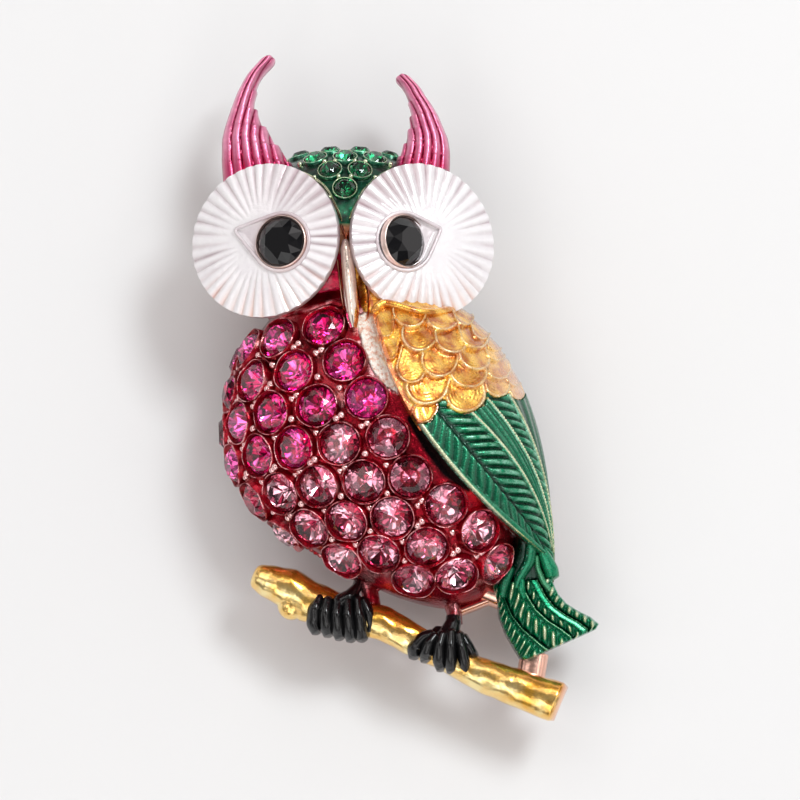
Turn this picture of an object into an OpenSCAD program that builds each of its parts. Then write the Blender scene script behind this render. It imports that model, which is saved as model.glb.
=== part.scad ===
// Owl brooch: one hollow-backed casting, set with round stones, and a pin fitting on its back.
// Millimetres. X is to the right of the owl as seen from the front, Y is up along the owl,
// Z points out of its face, and z = 0 is the surface that the pin fitting lies on.

/* [Belly stones] */
// Diameter of a belly stone
stone_d = 3.8; // [3.4:0.1:4.2]
// Metal left between two belly stones
stone_gap = 0.54; // [0.4:0.02:0.8]
// Height of a stone's crown above its girdle
crown_h = 0.85; // [0.6:0.05:1.1]
// Depth of a stone below its girdle, with its point left off
under_h = 1.4; // [1.0:0.05:1.6]
// Height of a stone's girdle above the skin of the belly
girdle_up = 0.3; // [0.1:0.05:0.5]
// Height of the metal round a stone above its girdle
cup_lip = 0.15; // [0.05:0.05:0.3]
// Width of a prong's head between three stones
prong_d = 0.7; // [0.5:0.05:0.9]
// Clearance between a stone and its cup
stone_clear = 0.05; // [0.02:0.01:0.1]

/* [Body] */
// Lean of the body's axis from upright, in degrees
lean = 28; // [18:1:36]
// Reach of the belly dome above its widest place
belly_up = 17; // [15:0.5:19]
// Reach of the belly dome below its widest place
belly_down = 18.8; // [17:0.5:21]
// Reach of the belly dome to its left
belly_left = 15.6; // [15:0.2:18]
// Reach of the belly dome to its right
belly_right = 13.5; // [12:0.2:15]
// Share of its reach by which the dome's low left edge draws in
belly_tuck = 0.2; // [0:0.02:0.25]
// Height of the belly dome above the back rim
belly_h = 12.5; // [11:0.2:14]
// Wall of the hollow casting
shell = 1.7; // [1.5:0.1:2.1]
// Height of the web across the hollow at the neck
web_h = 3.6; // [3:0.2:5]

/* [Wing] */
// Reach of the wing from the belly's axis to its outer edge
wing_w = 13.5; // [13:0.2:15]
// Length of the wing below the belly's widest place
wing_down = 20.8; // [19:0.2:22.5]
// Step from the belly up to the wing
wing_step = 1.3; // [1:0.1:1.6]
// Thickness of the wing
wing_t = 2; // [1.6:0.1:2.4]
// Upright wall at the wing's outer edge
wing_wall = 2; // [1.4:0.1:2.6]
// Width of one scale
scale_w = 3.4; // [3:0.1:3.8]
// Height of a feather's vein above the wing
vein_up = 0.55; // [0.4:0.05:0.7]

/* [Head] */
// Half width of the head
head_w = 9.4; // [8.6:0.2:10.2]
// Reach of the head above its centre
head_up = 9.4; // [8.6:0.2:10.2]
// Height of the head above the back rim
head_h = 9.6; // [8.6:0.2:10.4]
// Diameter of an eye disc
disc_d = 15.3; // [14.5:0.1:16]
// Thickness of an eye disc at its rim
disc_t = 1.1; // [0.8:0.1:1.4]
// Rise of an eye disc from its rim to its centre
disc_rise = 0.8; // [0.5:0.1:1.2]
// Turn of the left eye disc away from the beak, in degrees
left_turn = 21; // [16:1:26]
// Turn of the right eye disc away from the beak, in degrees
right_turn = 25; // [18:1:28]
// Height of the eye discs' centres above the table
disc_z = 13.6; // [13:0.1:14.4]
// Number of flutes round an eye disc
flutes = 40; // [32:1:44]
// Depth of a flute at the rim
flute_h = 0.3; // [0.15:0.05:0.4]
// Diameter of an eye stone
eye_d = 4.9; // [4.4:0.1:5.3]
// Height of the rim round the eye
lid_up = 0.35; // [0.2:0.05:0.5]
// Diameter of a stone on the crown of the head
cap_d = 2.2; // [1.8:0.1:2.4]
// Distance between two stones on the crown
cap_pitch = 2.9; // [2.7:0.05:3.2]
// Length of the beak
beak_l = 9; // [8:0.2:9.6]
// Width of the beak at its widest
beak_w = 1.7; // [1.3:0.1:2.1]

/* [Ear tufts] */
// Height of the left ear tuft
left_tuft_h = 12; // [10:0.5:13]
// Width of the left ear tuft at its foot
left_tuft_w = 7.3; // [6.5:0.1:8]
// Height of the right ear tuft
right_tuft_h = 9.2; // [8:0.2:10.5]
// Width of the right ear tuft at its foot
right_tuft_w = 5.4; // [4.8:0.1:6]
// Thickness of an ear tuft
tuft_t = 2.2; // [1.6:0.1:2.8]
// Height of an ear tuft's ribs
rib_up = 0.3; // [0.15:0.05:0.4]

/* [Branch and feet] */
// Length of the branch
branch_l = 31.5; // [29:0.5:33]
// Thickness of the branch at its middle
branch_d = 3.3; // [2.8:0.1:3.8]
// Slope of the branch, in degrees
branch_slope = 23; // [18:0.5:26]
// Thickness of a toe
toe_d = 1.6; // [1.3:0.1:1.9]
// Thickness of a leg
leg_d = 1.9; // [1.5:0.1:2.3]

/* [Tail] */
// Length of the longest tail feather
tail_l = 8.6; // [7.8:0.2:9.4]
// Width of a tail feather
tail_w = 2.9; // [2.5:0.1:3.3]
// Thickness of the tail
tail_t = 2.2; // [1.8:0.1:2.6]

/* [Pin fitting] */
// Length of the pin bar
bar_l = 38; // [34:1:42]
// Width of the pin bar
bar_w = 6; // [5:0.5:7]
// Thickness of the pin bar
bar_t = 0.9; // [0.7:0.1:1.2]
// Room under the casting for the pin
pin_room = 4.8; // [4:0.2:5.6]
// Thickness of the pin
pin_d = 0.9; // [0.8:0.05:1.1]
// Length of the hinge block and of the catch
block_l = 4; // [3:0.5:5]
// Gap between the pin bar and the casting
seat_gap = 0.05; // [0.03:0.01:0.1]

/* [Hidden] */
// Places of the parts' own centres
belly_at = [-0.4, -4.4];
head_at = [-5, 14.6];
disc_at = [[-12.8, 13.75], [2.65, 13.75]];
branch_at = [1.1, -24.6];
tail_at = [10.1, -20.6];
pin_at = [-0.3, -1.8];
// Height of the casting's flat back
back_z = pin_room;
// Distance from one belly stone to the next
pitch = stone_d + stone_gap;
stone_r = stone_d/2;
rim_up = girdle_up + cup_lip;
// Directions down the belly's axis and out to its left
along = [sin(lean), -cos(lean)];
across = [-cos(lean), -sin(lean)];
// Small step for slopes
eps = 0.01;

// Lanes of stones down the belly, from the wing outwards: where a lane starts and ends, as
// shares of the belly's reach up and down, and how far it bends to the wing at its foot
lanes = [
    // starts, ends, bend
    [0.647, 0.93, 79],
    [0.727, 0.92, 22],
    [0.789, 0.85, -1],
    [0.803, 0.60, -31],
    [0.469, 0.30, -1],
];
// Distance of the first lane from the belly's axis and of each lane from the last, in pitches
lane_first = 0.283;
lane_step = 0.963;

// Rows of wing scales: place down the wing in scale widths, first place across the wing as a
// share, and number of scales
scale_rows = [
    // down, first, count
    [-1.7, 0.14, 4],
    [-1.15, 0.02, 4],
    [-0.6, 0.12, 4],
    [-0.05, 0.02, 4],
    [0.5, 0.12, 3],
];
// Feathers of the wing: start as a share of the wing's length down, place across the wing at
// the start and at the tip, and half width
feathers = [
    // start, across at start, across at tip, half width
    [0.08, 0.13, 0.20, 0.12],
    [0.08, 0.36, 0.45, 0.12],
    [0.02, 0.60, 0.66, 0.11],
    [0.00, 0.82, 0.86, 0.09],
];
// Sections of an ear tuft: height, left edge and right edge as shares of its height and width
left_tuft = [
    // height, left, right
    [0.00, 0.02, 1.02],
    [0.16, 0.00, 0.86],
    [0.30, 0.01, 0.70],
    [0.43, 0.06, 0.53],
    [0.56, 0.15, 0.47],
    [0.68, 0.22, 0.46],
    [0.79, 0.30, 0.48],
    [0.88, 0.39, 0.56],
    [0.95, 0.50, 0.72],
    [1.00, 0.62, 0.70],
];
right_tuft = [
    // height, left, right
    [0.00, 0.02, 1.00],
    [0.18, 0.08, 1.01],
    [0.38, 0.24, 0.90],
    [0.58, 0.25, 0.74],
    [0.73, 0.13, 0.61],
    [0.86, 0.04, 0.45],
    [0.95, -0.03, 0.31],
    [1.00, 0.00, 0.18],
];
// Sections of the branch: place along it, offset to the side and half thickness, as shares of
// its length and of its thickness
branch_rows = [
    // along, side, half thickness
    [0.00, 0.00, 0.40],
    [0.03, 0.00, 0.50],
    [0.10, 0.06, 0.60],
    [0.17, -0.08, 0.62],
    [0.28, 0.00, 0.54],
    [0.42, 0.14, 0.50],
    [0.58, 0.00, 0.47],
    [0.74, -0.12, 0.47],
    [0.88, -0.06, 0.58],
    [1.00, 0.00, 0.62],
];
// Feet: ankle along the branch and above its middle, as shares of its length and of its
// thickness, and the hip's place from the ankle
feet_at = [
    // along, above, hip side, hip up
    [0.31, 0.72, 0.5, 1.9],
    [0.61, 1.02, 0, 3.2],
];
// Toes of the left and of the right foot: reach to the side and down, in toe thicknesses
left_toes = [
    // side, down
    [-2.7, 1.9],
    [-1.6, 2.6],
    [-0.4, 2.9],
    [0.6, 2.3],
];
right_toes = [
    // side, down
    [-2.3, 2.0],
    [-1.1, 2.8],
    [0.0, 3.4],
    [1.0, 3.6],
];
// Feathers of the tail: root to the side and down, turn in degrees and length as a share
tail_rows = [
    // side, down, turn, length
    [0.00, 0.00, 36, 0.95],
    [0.72, -0.35, 43, 1.00],
    [1.25, -0.90, 48, 0.97],
];

function unit(v) = v / norm(v);
function fall(x, p, q) = pow(max(0, 1 - pow(min(1, abs(x)), p)), q);
function spot(u, n) = belly_at + u*along + n*across;

// Belly dome: u runs down its axis from the widest place, t turns from its ridge (0) to its
// left rim (90) or right rim (-90)
function share(u) = u < 0 ? u/belly_up : u/belly_down;
function wide(u) = u < 0 ? fall(share(u), 2, 0.5) : fall(share(u), 1.6, 0.62);
function high(u) = u < 0 ? fall(share(u), 2, 0.34) : fall(share(u), 2.3, 0.5);
function reach(t) = t < 0 ? belly_right : belly_left;
// The low left of the dome draws in under its last stones
function tuck(u, t) =
    1 - belly_tuck*min(1, max(0, (share(u) + 0.15)/0.55))*pow(max(0, (t - 60)/30), 1.2);
function skin(u, t, inset = 0) =
    let (q = spot(u, (reach(t) - inset)*wide(u)*sin(t)*tuck(u, t)))
    [q.x, q.y, back_z + (belly_h - inset)*high(u)*cos(t)];
function skin_normal(u, t) =
    unit(cross(skin(u, t + eps) - skin(u, t - eps), skin(u + eps, t) - skin(u - eps, t)));

// Turn from the ridge at which the waist's arc has a given length
function arc_turn(length, t = 0, run = 0) =
    run >= length || t >= 85 ? t
    : arc_turn(length, t + 1, run + norm(skin(0, t + 1) - skin(0, t)));
lane_turns = [for (k = [0:len(lanes) - 1]) arc_turn((lane_first + lane_step*k)*pitch)];
function lane_turn(k, u) =
    lane_turns[k]*(1 + pow(min(0, u)/belly_up, 2)) - lanes[k][2]*max(0, share(u) - 0.42);
function lane_spot(k, u) = skin(u, lane_turn(k, u));
// The place on a lane one pitch below another, found by halving
function next_u(k, u, lo = 0, hi = 0, turn = 0) =
    let (a = turn == 0 ? u : lo, b = turn == 0 ? u + 1.5*pitch : hi, mid = (a + b)/2)
    turn == 12 ? mid
    : norm(lane_spot(k, mid) - lane_spot(k, u)) < pitch ? next_u(k, u, mid, b, turn + 1)
    : next_u(k, u, a, mid, turn + 1);
function lane_run(k, u) = u > lanes[k][1]*belly_down ? [] : concat([u], lane_run(k, next_u(k, u)));
// Every belly stone: its point on the skin and the skin's normal there
stones = [
    for (k = [0:len(lanes) - 1]) for (u = lane_run(k, -lanes[k][0]*belly_up))
        [lane_spot(k, u), skin_normal(u, lane_turn(k, u))]
];

// Prongs: each stands beside the middle of two stones of a lane, in the gap to the next lane
function lane_points(k) = [for (u = lane_run(k, -lanes[k][0]*belly_up)) lane_spot(k, u)];
function clear_of(p, points) = min([for (q = points) norm(p - q)]);
function prong_spots(side) = [
    for (k = [0:len(lanes) - 1]) let (run = lane_points(k)) for (i = [0:len(run) - 2])
        let (
            mid = (run[i] + run[i + 1])/2,
            out = cross(skin_normal(0, 0) + mid - [belly_at.x, belly_at.y, back_z], run[i + 1] - run[i]),
            tries = [for (s = [0.26, 0.32, 0.38, 0.44, 0.5]) mid + side*s*pitch*unit(out)],
            room = [for (p = tries) clear_of(p, [for (q = stones) q[0]])],
            best = [for (j = [0:len(tries) - 1]) if (room[j] == max(room)) tries[j]][0]
        )
        if (max(room) > stone_r + 0.5*prong_d && max(room) < 0.66*pitch) best
];
prongs = let (outer = prong_spots(1))
    concat(outer, [for (p = prong_spots(-1)) if (clear_of(p, outer) > 1.5*prong_d) p]);

// Wing: u as on the belly, v runs from its inner edge (0) to its outer edge (1)
function wing_share(u) = u < 0 ? u/belly_up : u/wing_down;
function wing_reach(u) = wing_w*(u < 0 ? fall(wing_share(u), 2, 0.5) : 1 - 0.54*pow(wing_share(u), 1.8));
function wing_inner(u) =
    wing_w*(0.12 + (u < 0 ? 0.34*pow(wing_share(u), 2) : 0.36*pow(wing_share(u), 1.6)));
function wing_high(u) =
    belly_h*(u < 0 ? fall(wing_share(u), 2, 0.42) : 1 - 0.62*pow(wing_share(u), 2.2)) + wing_step;
function wing(u, v, lift = 0) =
    let (
        first = asin(min(0.97, wing_inner(u)/wing_reach(u))),
        t = first + (90 - first)*v,
        q = spot(u, -(wing_reach(u) + lift)*sin(t))
    )
    [q.x, q.y, back_z + wing_wall + (wing_high(u) - wing_wall + lift)*cos(t)];
function wing_down_way(u, v) = unit(wing(u + eps, v) - wing(u - eps, v));
function wing_normal(u, v) =
    unit(cross(wing(u, v - eps) - wing(u, v + eps), wing(u + eps, v) - wing(u - eps, v)));

// Head: s climbs from its centre to its top, t turns from its ridge to a side
function head(s, t, inset = 0) = [
    head_at.x + (head_w - inset)*pow(cos(s), 0.55)*sin(t),
    head_at.y + (head_up - inset)*sin(s),
    back_z + (head_h - inset)*pow(cos(s), 0.7)*cos(t)
];
function head_normal(s, t) =
    unit(cross(head(s, t + eps) - head(s, t - eps), head(s + eps, t) - head(s - eps, t)));

// Joins rings of equal size, each running the same way round, into one closed solid
function sum(v) = [for (x = v) 1]*v;
function turns_to(ring, way) =
    sum([for (j = [0:len(ring) - 1]) cross(ring[j] - ring[0], ring[(j + 1) % len(ring)] - ring[0])])*way > 0;
module loft(given) {
    flip = turns_to(given[0], sum(given[1]) - sum(given[0]));
    rings = [for (r = given) flip ? [for (j = [len(r) - 1:-1:0]) r[j]] : r];
    n = len(rings[0]);
    last = len(rings) - 1;
    sides = [
        for (i = [0:last - 1]) for (j = [0:n - 1])
            let (k = (j + 1) % n)
            each [[i*n + j, i*n + k, (i + 1)*n + k], [i*n + j, (i + 1)*n + k, (i + 1)*n + j]]
    ];
    ends = [[for (j = [n - 1:-1:0]) j], [for (j = [0:n - 1]) last*n + j]];
    polyhedron([for (ring = rings) each ring], concat(sides, ends), convexity = 6);
}

// Bar of round section through rows of [x, y, z, half width, half depth]
function ring_at(row, dir, sides) =
    let (side = [-dir.y, dir.x])
    [for (j = [0:sides - 1]) let (a = 360*(j + 0.5)/sides)
        [row[0] + side.x*row[3]*cos(a), row[1] + side.y*row[3]*cos(a), row[2] + row[4]*sin(a)]];
module rod(rows, sides = 8) {
    last = len(rows) - 1;
    loft([for (i = [0:last])
        let (a = rows[max(0, i - 1)], b = rows[min(last, i + 1)])
        ring_at(rows[i], unit([b[0] - a[0], b[1] - a[1]]), sides)]);
}

// Puts its children at a point, with Z along the normal there
module seat(point, normal) {
    side = unit(cross([0, 1, 0.001], normal));
    up = cross(normal, side);
    multmatrix([
        [side.x, up.x, normal.x, point.x],
        [side.y, up.y, normal.y, point.y],
        [side.z, up.z, normal.z, point.z],
        [0, 0, 0, 1],
    ]) children();
}

// Cut stone: eight-sided table, crown facets down to the girdle at z = 0, facets below it
module cut_stone(d, crown, under) {
    girdle = [for (j = [0:15]) [d/2*cos(22.5*j), d/2*sin(22.5*j), 0]];
    table = [for (j = [0:7]) [d*0.29*cos(45*j), d*0.29*sin(45*j), crown]];
    foot = [for (j = [0:7]) [d*0.12*cos(45*j), d*0.12*sin(45*j), -under]];
    facets = [
        for (j = [0:7])
            let (g = 2*j, g1 = (2*j + 1) % 16, g2 = (2*j + 2) % 16, j1 = (j + 1) % 8)
            each [
                [g, 16 + j, g1], [g1, 16 + j, 16 + j1], [g1, 16 + j1, g2],
                [g, g1, 24 + j], [g1, 24 + j1, 24 + j], [g1, g2, 24 + j1],
            ]
    ];
    polyhedron(
        concat(girdle, table, foot),
        concat(facets, [[for (j = [7:-1:0]) 16 + j], [for (j = [0:7]) 24 + j]])
    );
}
// Well for a stone, wider upwards: it clears the girdle and is open above it
module pocket(d, under, above) {
    low = 0.34*d;
    slope = (d/2 + stone_clear - low)/(under + stone_clear);
    translate([0, 0, -under - stone_clear])
        cylinder(r1 = low, r2 = d/2 + stone_clear + slope*above, h = under + stone_clear + above, $fn = 16);
}

// Shares of the belly's length at which its rings stand
belly_rings = [-0.995, -0.95, -0.87, -0.75, -0.6, -0.42, -0.2, 0.05, 0.3, 0.5, 0.66, 0.8, 0.92, 0.99];
module belly() {
    color([0.62, 0.05, 0.20]) {
        loft([for (x = belly_rings) let (u = x*(x < 0 ? belly_up : belly_down))
            [for (t = [-90:15:90]) skin(u, t, -rim_up*sqrt(cos(t)))]]);
        for (p = prongs) {
            out = unit(p - [belly_at.x, belly_at.y, back_z - 2]);
            seat(p + rim_up*out, out) translate([0, 0, -1.2])
                cylinder(d1 = prong_d, d2 = 0.6*prong_d, h = 1.6, $fn = 4);
        }
    }
}
// Hollow of the belly, open at the back
function hollow(x, t) =
    let (u = x*(x < 0 ? belly_up : belly_down), q = spot(0.88*u, (reach(t) - 1.15*shell)*wide(u)*sin(t)*tuck(u, t)))
    [q.x, q.y, back_z + (belly_h - shell)*high(u)*cos(t)];
module belly_hollow() {
    loft([for (x = [-0.97, -0.85, -0.65, -0.4, 0, 0.4, 0.65, 0.85, 0.97])
        concat([for (t = [-90:22.5:90]) hollow(x, t)],
            [for (t = [90, -90]) let (p = hollow(x, t)) [p.x, p.y, back_z - 1]])]);
}
module wing_plate() {
    color([0.72, 0.45, 0.32])
        loft([for (x = [-0.78, -0.66, -0.5, -0.3, -0.1, 0.1, 0.3, 0.5, 0.65, 0.8, 0.9, 0.97, 1])
            let (u = x*(x < 0 ? belly_up : wing_down))
            concat(
                [for (v = [0:0.125:1]) wing(u, v)],
                [let (p = wing(u, 1)) [p.x, p.y, max(back_z, p.z - wing_wall)]],
                [for (v = [1:-0.25:0])
                    let (p = wing(u, v, -wing_t)) [p.x, p.y, max(back_z, p.z - wing_wall*v)]]
            )]);
}
module scales() {
    color([0.85, 0.55, 0.12])
        for (row = scale_rows) for (i = [0:row[2] - 1]) {
            v = row[1] + 0.22*i;
            u = row[0]*scale_w + 0.42*scale_w*i;
            hull() {
                seat(wing(u, v, 0.5), wing_normal(u, v)) translate([0, 0.3*scale_w, -0.6])
                    scale([1, 0.65, 1]) cylinder(d = scale_w, h = 0.6, $fn = 8);
                seat(wing(u - 0.7*scale_w, v, 0), wing_normal(u, v)) translate([0, 0, -0.5])
                    cylinder(d = 0.4*scale_w, h = 0.4, $fn = 4);
            }
        }
}
module wing_feathers() {
    steps = 8;
    color([0.02, 0.42, 0.28])
        for (f = feathers)
            loft([for (i = [0:steps])
                let (
                    s = i/steps, u = (f[0] + (0.985 - f[0])*s)*wing_down,
                    v = f[1] + (f[2] - f[1])*s, w = f[3]*(i == 0 ? 0.5 : 1)*(1 - 0.35*s),
                    barb = i % 2 == 0 ? 0.5*vein_up : 0.8*vein_up
                )
                [wing(u, v - w, -0.5), wing(u, v - w, 0.1), wing(u, v - w/2, barb), wing(u, v, vein_up),
                 wing(u, v + w/2, barb), wing(u, v + w, 0.1), wing(u, v + w, -0.5)]]);
}
module head_dome(inset = 0, deep = 0) {
    color([0.03, 0.35, 0.20])
        loft([for (s = [-75, -50, -25, 0, 22, 42, 58, 72, 84])
            concat(
                [for (t = [-90:18:90]) head(s, t, inset)],
                deep > 0 ? [for (t = [90, -90])
                    let (p = head(s, t, inset)) [p.x, p.y, back_z - deep]] : []
            )]);
}
// Crown stones: four rows of one to four up the head
cap_stones = [
    for (r = [0:3]) for (j = [0:r])
        let (
            s = 27 + r*cap_pitch*0.87/head_up*180/PI,
            t = asin((j - r/2)*cap_pitch/(head_w*pow(cos(s), 0.55)))
        )
        [head(s, t), head_normal(s, t)]
];
// Eye disc in its own place: centre of its rim at the origin, face along Z
function disc_top(r, a) =
    disc_rise*(1 - r*r) + (a % 2 == 0 ? 0.5 : -0.5)*flute_h*max(0, (r - 0.45)/0.55);
module disc_body() {
    n = 2*flutes;
    rings = [0.45, 1];
    top = [for (r = rings) for (a = [0:n - 1])
        [disc_d/2*r*cos(360*a/n), disc_d/2*r*sin(360*a/n), disc_top(r, a)]];
    low = [for (b = [0:flutes - 1])
        [disc_d/2*0.96*cos(360*b/flutes), disc_d/2*0.96*sin(360*b/flutes), -disc_t]];
    points = concat(top, low, [[0, 0, disc_rise]]);
    rows = len(rings);
    top_faces = [
        for (i = [0:rows - 2]) for (a = [0:n - 1])
            let (b = (a + 1) % n)
            each [[i*n + a, (i + 1)*n + b, (i + 1)*n + a], [i*n + a, i*n + b, (i + 1)*n + b]]
    ];
    inner = [for (a = [0:n - 1]) [len(points) - 1, (a + 1) % n, a]];
    edge = (rows - 1)*n;
    sides = [
        for (b = [0:flutes - 1])
            let (a = edge + 2*b, a1 = a + 1, a2 = edge + (2*b + 2) % n, l = rows*n + b,
                l1 = rows*n + (b + 1) % flutes)
            each [[a, a1, l], [a1, l1, l], [a1, a2, l1]]
    ];
    polyhedron(points, concat(top_faces, inner, sides, [[for (b = [0:flutes - 1]) rows*n + b]]),
        convexity = 6);
}
// Eyes: place of the stone and of the eye's corner on the disc, and the stone's own turn
eyes = [
    // stone side, stone up, corner side, corner up, turn
    [0.26, -0.06, -0.33, 0.13, 0],
    [-0.30, -0.06, 0.16, 0.13, -14],
];
module disc_seat(i) {
    translate([disc_at[i].x, disc_at[i].y, disc_z]) rotate([0, i == 0 ? -left_turn : right_turn, 0])
        children();
}
module eye_seat(i) {
    disc_seat(i) translate([eyes[i][0]*disc_d/2, eyes[i][1]*disc_d/2, disc_rise])
        rotate([0, -eyes[i][4], 0]) children();
}
module almond(i, r, corner) {
    hull() {
        translate([eyes[i][0]*disc_d/2, eyes[i][1]*disc_d/2, 0]) cylinder(r = r, h = 3, $fn = 14);
        translate([eyes[i][2]*disc_d/2, eyes[i][3]*disc_d/2, 0]) cylinder(r = corner, h = 3, $fn = 4);
    }
}
module eye_disc(i) {
    color([0.93, 0.90, 0.90])
        disc_seat(i) difference() {
            union() {
                disc_body();
                translate([0, 0, disc_rise + lid_up - 3]) intersection() {
                    almond(i, eye_d/2 + 0.55, 0.5);
                    translate([-disc_d/2, -disc_d/2, 3 - disc_t - lid_up]) cube([disc_d, disc_d, 3]);
                }
            }
            translate([0, 0, disc_rise - 0.1]) almond(i, eye_d/2 + 0.22, 0.18);
        }
    // Stem from the back of the disc into the head
    color([0.8, 0.6, 0.55]) hull() {
        disc_seat(i) translate([0.2*eyes[i][0]*disc_d, 0, -disc_t - 0.4]) cylinder(d = 0.55*disc_d, h = 0.5, $fn = 14);
        translate([0.5*(disc_at[i].x + head_at.x), head_at.y - 1, back_z + 5]) cylinder(d = 0.35*disc_d, h = 1, $fn = 14);
    }
}

// An ear tuft: sections across it, ribbed on the front
module tuft(rows, foot, h, w, z) {
    ribs = 10;
    color([0.80, 0.30, 0.48])
        loft([for (row = rows)
            let (xl = foot.x + row[1]*w, xr = foot.x + row[2]*w, y = foot.y + row[0]*h,
                t = tuft_t*(1 - 0.45*row[0]))
            concat(
                [for (j = [0:ribs]) [xr + (xl - xr)*j/ribs, y,
                    z + t*pow(max(0, 1 - pow(2*j/ribs - 1, 2)), 0.6) + (j % 2 == 1 ? rib_up*(1 - 0.6*row[0]) : 0)]],
                [[xl, y, z - 0.5], [xr, y, z - 0.5]]
            )]);
}
module ear_tufts() {
    tuft(left_tuft, [-17.2, 20.7], left_tuft_h, left_tuft_w, back_z + 3.6);
    tuft(right_tuft, [-0.1, 21.7], right_tuft_h, right_tuft_w, back_z + 3.6);
}
module beak() {
    top = [head_at.x + 0.1, head_at.y - 1.3];
    color([0.85, 0.66, 0.58])
        rod([for (row = [[0, 0.25], [0.2, 0.6], [0.55, 1], [0.8, 0.8], [1, 0.25]])
            [top.x + 0.09*beak_l*row[0], top.y - beak_l*row[0],
             back_z + belly_h - 1.9 + 1.2*row[0], beak_w/2*row[1], beak_w/2*row[1] + 0.5]]);
}
// The web between the head's hollow and the belly's, where the pin bar seats
module neck() {
    color([0.62, 0.05, 0.20])
        hull() {
            translate([head_at.x, head_at.y - 5.6, back_z]) cylinder(r = 5, h = web_h, $fn = 12);
            translate([spot(-0.75*belly_up, 0).x, spot(-0.75*belly_up, 0).y, back_z])
                cylinder(r = 5, h = web_h, $fn = 12);
        }
}

// Branch: x runs along it, side is up the picture
branch_way = [cos(branch_slope), -sin(branch_slope)];
function branch_spot(s, side) =
    branch_at + (s - 0.5)*branch_l*branch_way + side*[-branch_way.y, branch_way.x];
branch_z = back_z + 0.55*branch_d;
module branch() {
    color([0.80, 0.58, 0.15]) {
        rod([for (row = branch_rows)
            let (p = branch_spot(row[0], row[1]*branch_d))
            [p.x, p.y, branch_z, row[2]*branch_d, min(row[2], 0.55)*branch_d]], 10);
        knot = branch_spot(0.13, -0.45*branch_d);
        hull() {
            translate([knot.x, knot.y, branch_z]) sphere(d = 0.8*branch_d, $fn = 8);
            translate([knot.x, knot.y + 0.5*branch_d, branch_z]) sphere(d = branch_d, $fn = 8);
        }
    }
}
// Foot: toes fanned from an ankle over the branch, and the leg up to the belly
module foot(place, toes) {
    ankle = branch_spot(place[0], place[1]*branch_d);
    top = branch_z + 0.5*branch_d;
    color([0.05, 0.05, 0.06])
        for (toe = toes) {
            way = toe_d*[toe[0], -toe[1]];
            rod([
                [ankle.x, ankle.y + 0.3*toe_d, top - 1, 0.4*toe_d, 0.6*toe_d],
                [ankle.x + 0.72*way.x, ankle.y + 0.5*way.y, top, 0.5*toe_d, 0.6*toe_d],
                [ankle.x + way.x, ankle.y + 0.9*way.y, top - 0.3, 0.46*toe_d, 0.6*toe_d],
                [ankle.x + way.x, ankle.y + way.y, top - 1.3, 0.25*toe_d, 0.3*toe_d],
            ], 6);
        }
    color([0.70, 0.30, 0.40])
        rod([
            [ankle.x + place[2], ankle.y + place[3] + 1, back_z + 1.7, 0.9*leg_d, 1.5],
            [ankle.x + 0.5*place[2], ankle.y + 0.5*place[3], back_z + 1.8, 0.45*leg_d, 1.4],
            [ankle.x, ankle.y - 0.5, back_z + 2, 0.6*leg_d, 1.6],
        ], 6);
}
module feet() {
    foot(feet_at[0], left_toes);
    foot(feet_at[1], right_toes);
}

// Tail: curved feathers with barbs, rooted under the wing's tip
function tail_spot(f, s) =
    let (
        root = tail_at + tail_w*[f[0], -f[1]],
        l = tail_l*f[3]*s,
        turn = f[2] - 30*(1 - s)
    )
    root + l*[sin(turn), -cos(turn)];
module tail() {
    steps = 8;
    color([0.02, 0.32, 0.22]) {
        for (f = tail_rows)
            rod([for (i = [0:steps])
                let (s = i/steps, p = tail_spot(f, s), barb = i % 2 == 0 ? 0.85 : 1)
                [p.x, p.y, back_z + 0.5*tail_t + 0.9*(1 - s), 0.62*tail_w*(s > 0.93 ? 0.6 : 1)*(0.75 + 0.25*s),
                 tail_t/2*barb]], 6);
        hull() {
            translate([tail_at.x + 0.4*tail_w, tail_at.y + 0.4*tail_w, back_z]) cylinder(d = tail_w, h = 3.4, $fn = 8);
            translate([tail_at.x + 1.5*tail_w, tail_at.y + 0.9*tail_w, back_z]) cylinder(d = tail_w, h = 3.4, $fn = 8);
        }
    }
    // Link from the tail's tip to the branch, and the lip from the belly to the tail
    foot_spot = branch_spot(0.9, 0.3*branch_d);
    link_top = tail_spot(tail_rows[0], 0.85);
    color([0.75, 0.52, 0.45]) {
        hull() {
            translate([foot_spot.x, foot_spot.y, back_z]) cylinder(d = 2.6, h = 2, $fn = 8);
            translate([link_top.x, link_top.y, back_z]) cylinder(d = 3, h = 2, $fn = 8);
        }
        hull() {
            lip = spot(0.9*belly_down, 0);
            translate([lip.x, lip.y, back_z]) cylinder(d = 2.4, h = 3, $fn = 8);
            translate([tail_at.x + 0.2*tail_w, tail_at.y, back_z]) cylinder(d = 2.4, h = 3, $fn = 8);
        }
    }
}

module casting() {
    color([0.85, 0.62, 0.52])
        difference() {
            union() {
                belly();
                wing_plate();
                scales();
                wing_feathers();
                head_dome();
                neck();
                eye_disc(0);
                eye_disc(1);
                ear_tufts();
                beak();
                branch();
                feet();
                tail();
            }
            difference() {
                belly_hollow();
                translate([0, 0, -0.1]) neck();
            }
            difference() {
                head_dome(shell, 1);
                translate([0, 0, -0.1]) neck();
            }
            for (s = stones)
                seat(s[0] + girdle_up*s[1], s[1]) pocket(stone_d, under_h, 1.2);
            for (s = cap_stones)
                seat(s[0] + 0.2*s[1], s[1]) pocket(cap_d, 0.8, 0.8);
            for (i = [0, 1])
                eye_seat(i) pocket(eye_d, under_h + 0.2, 1.2);
        }
}
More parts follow.
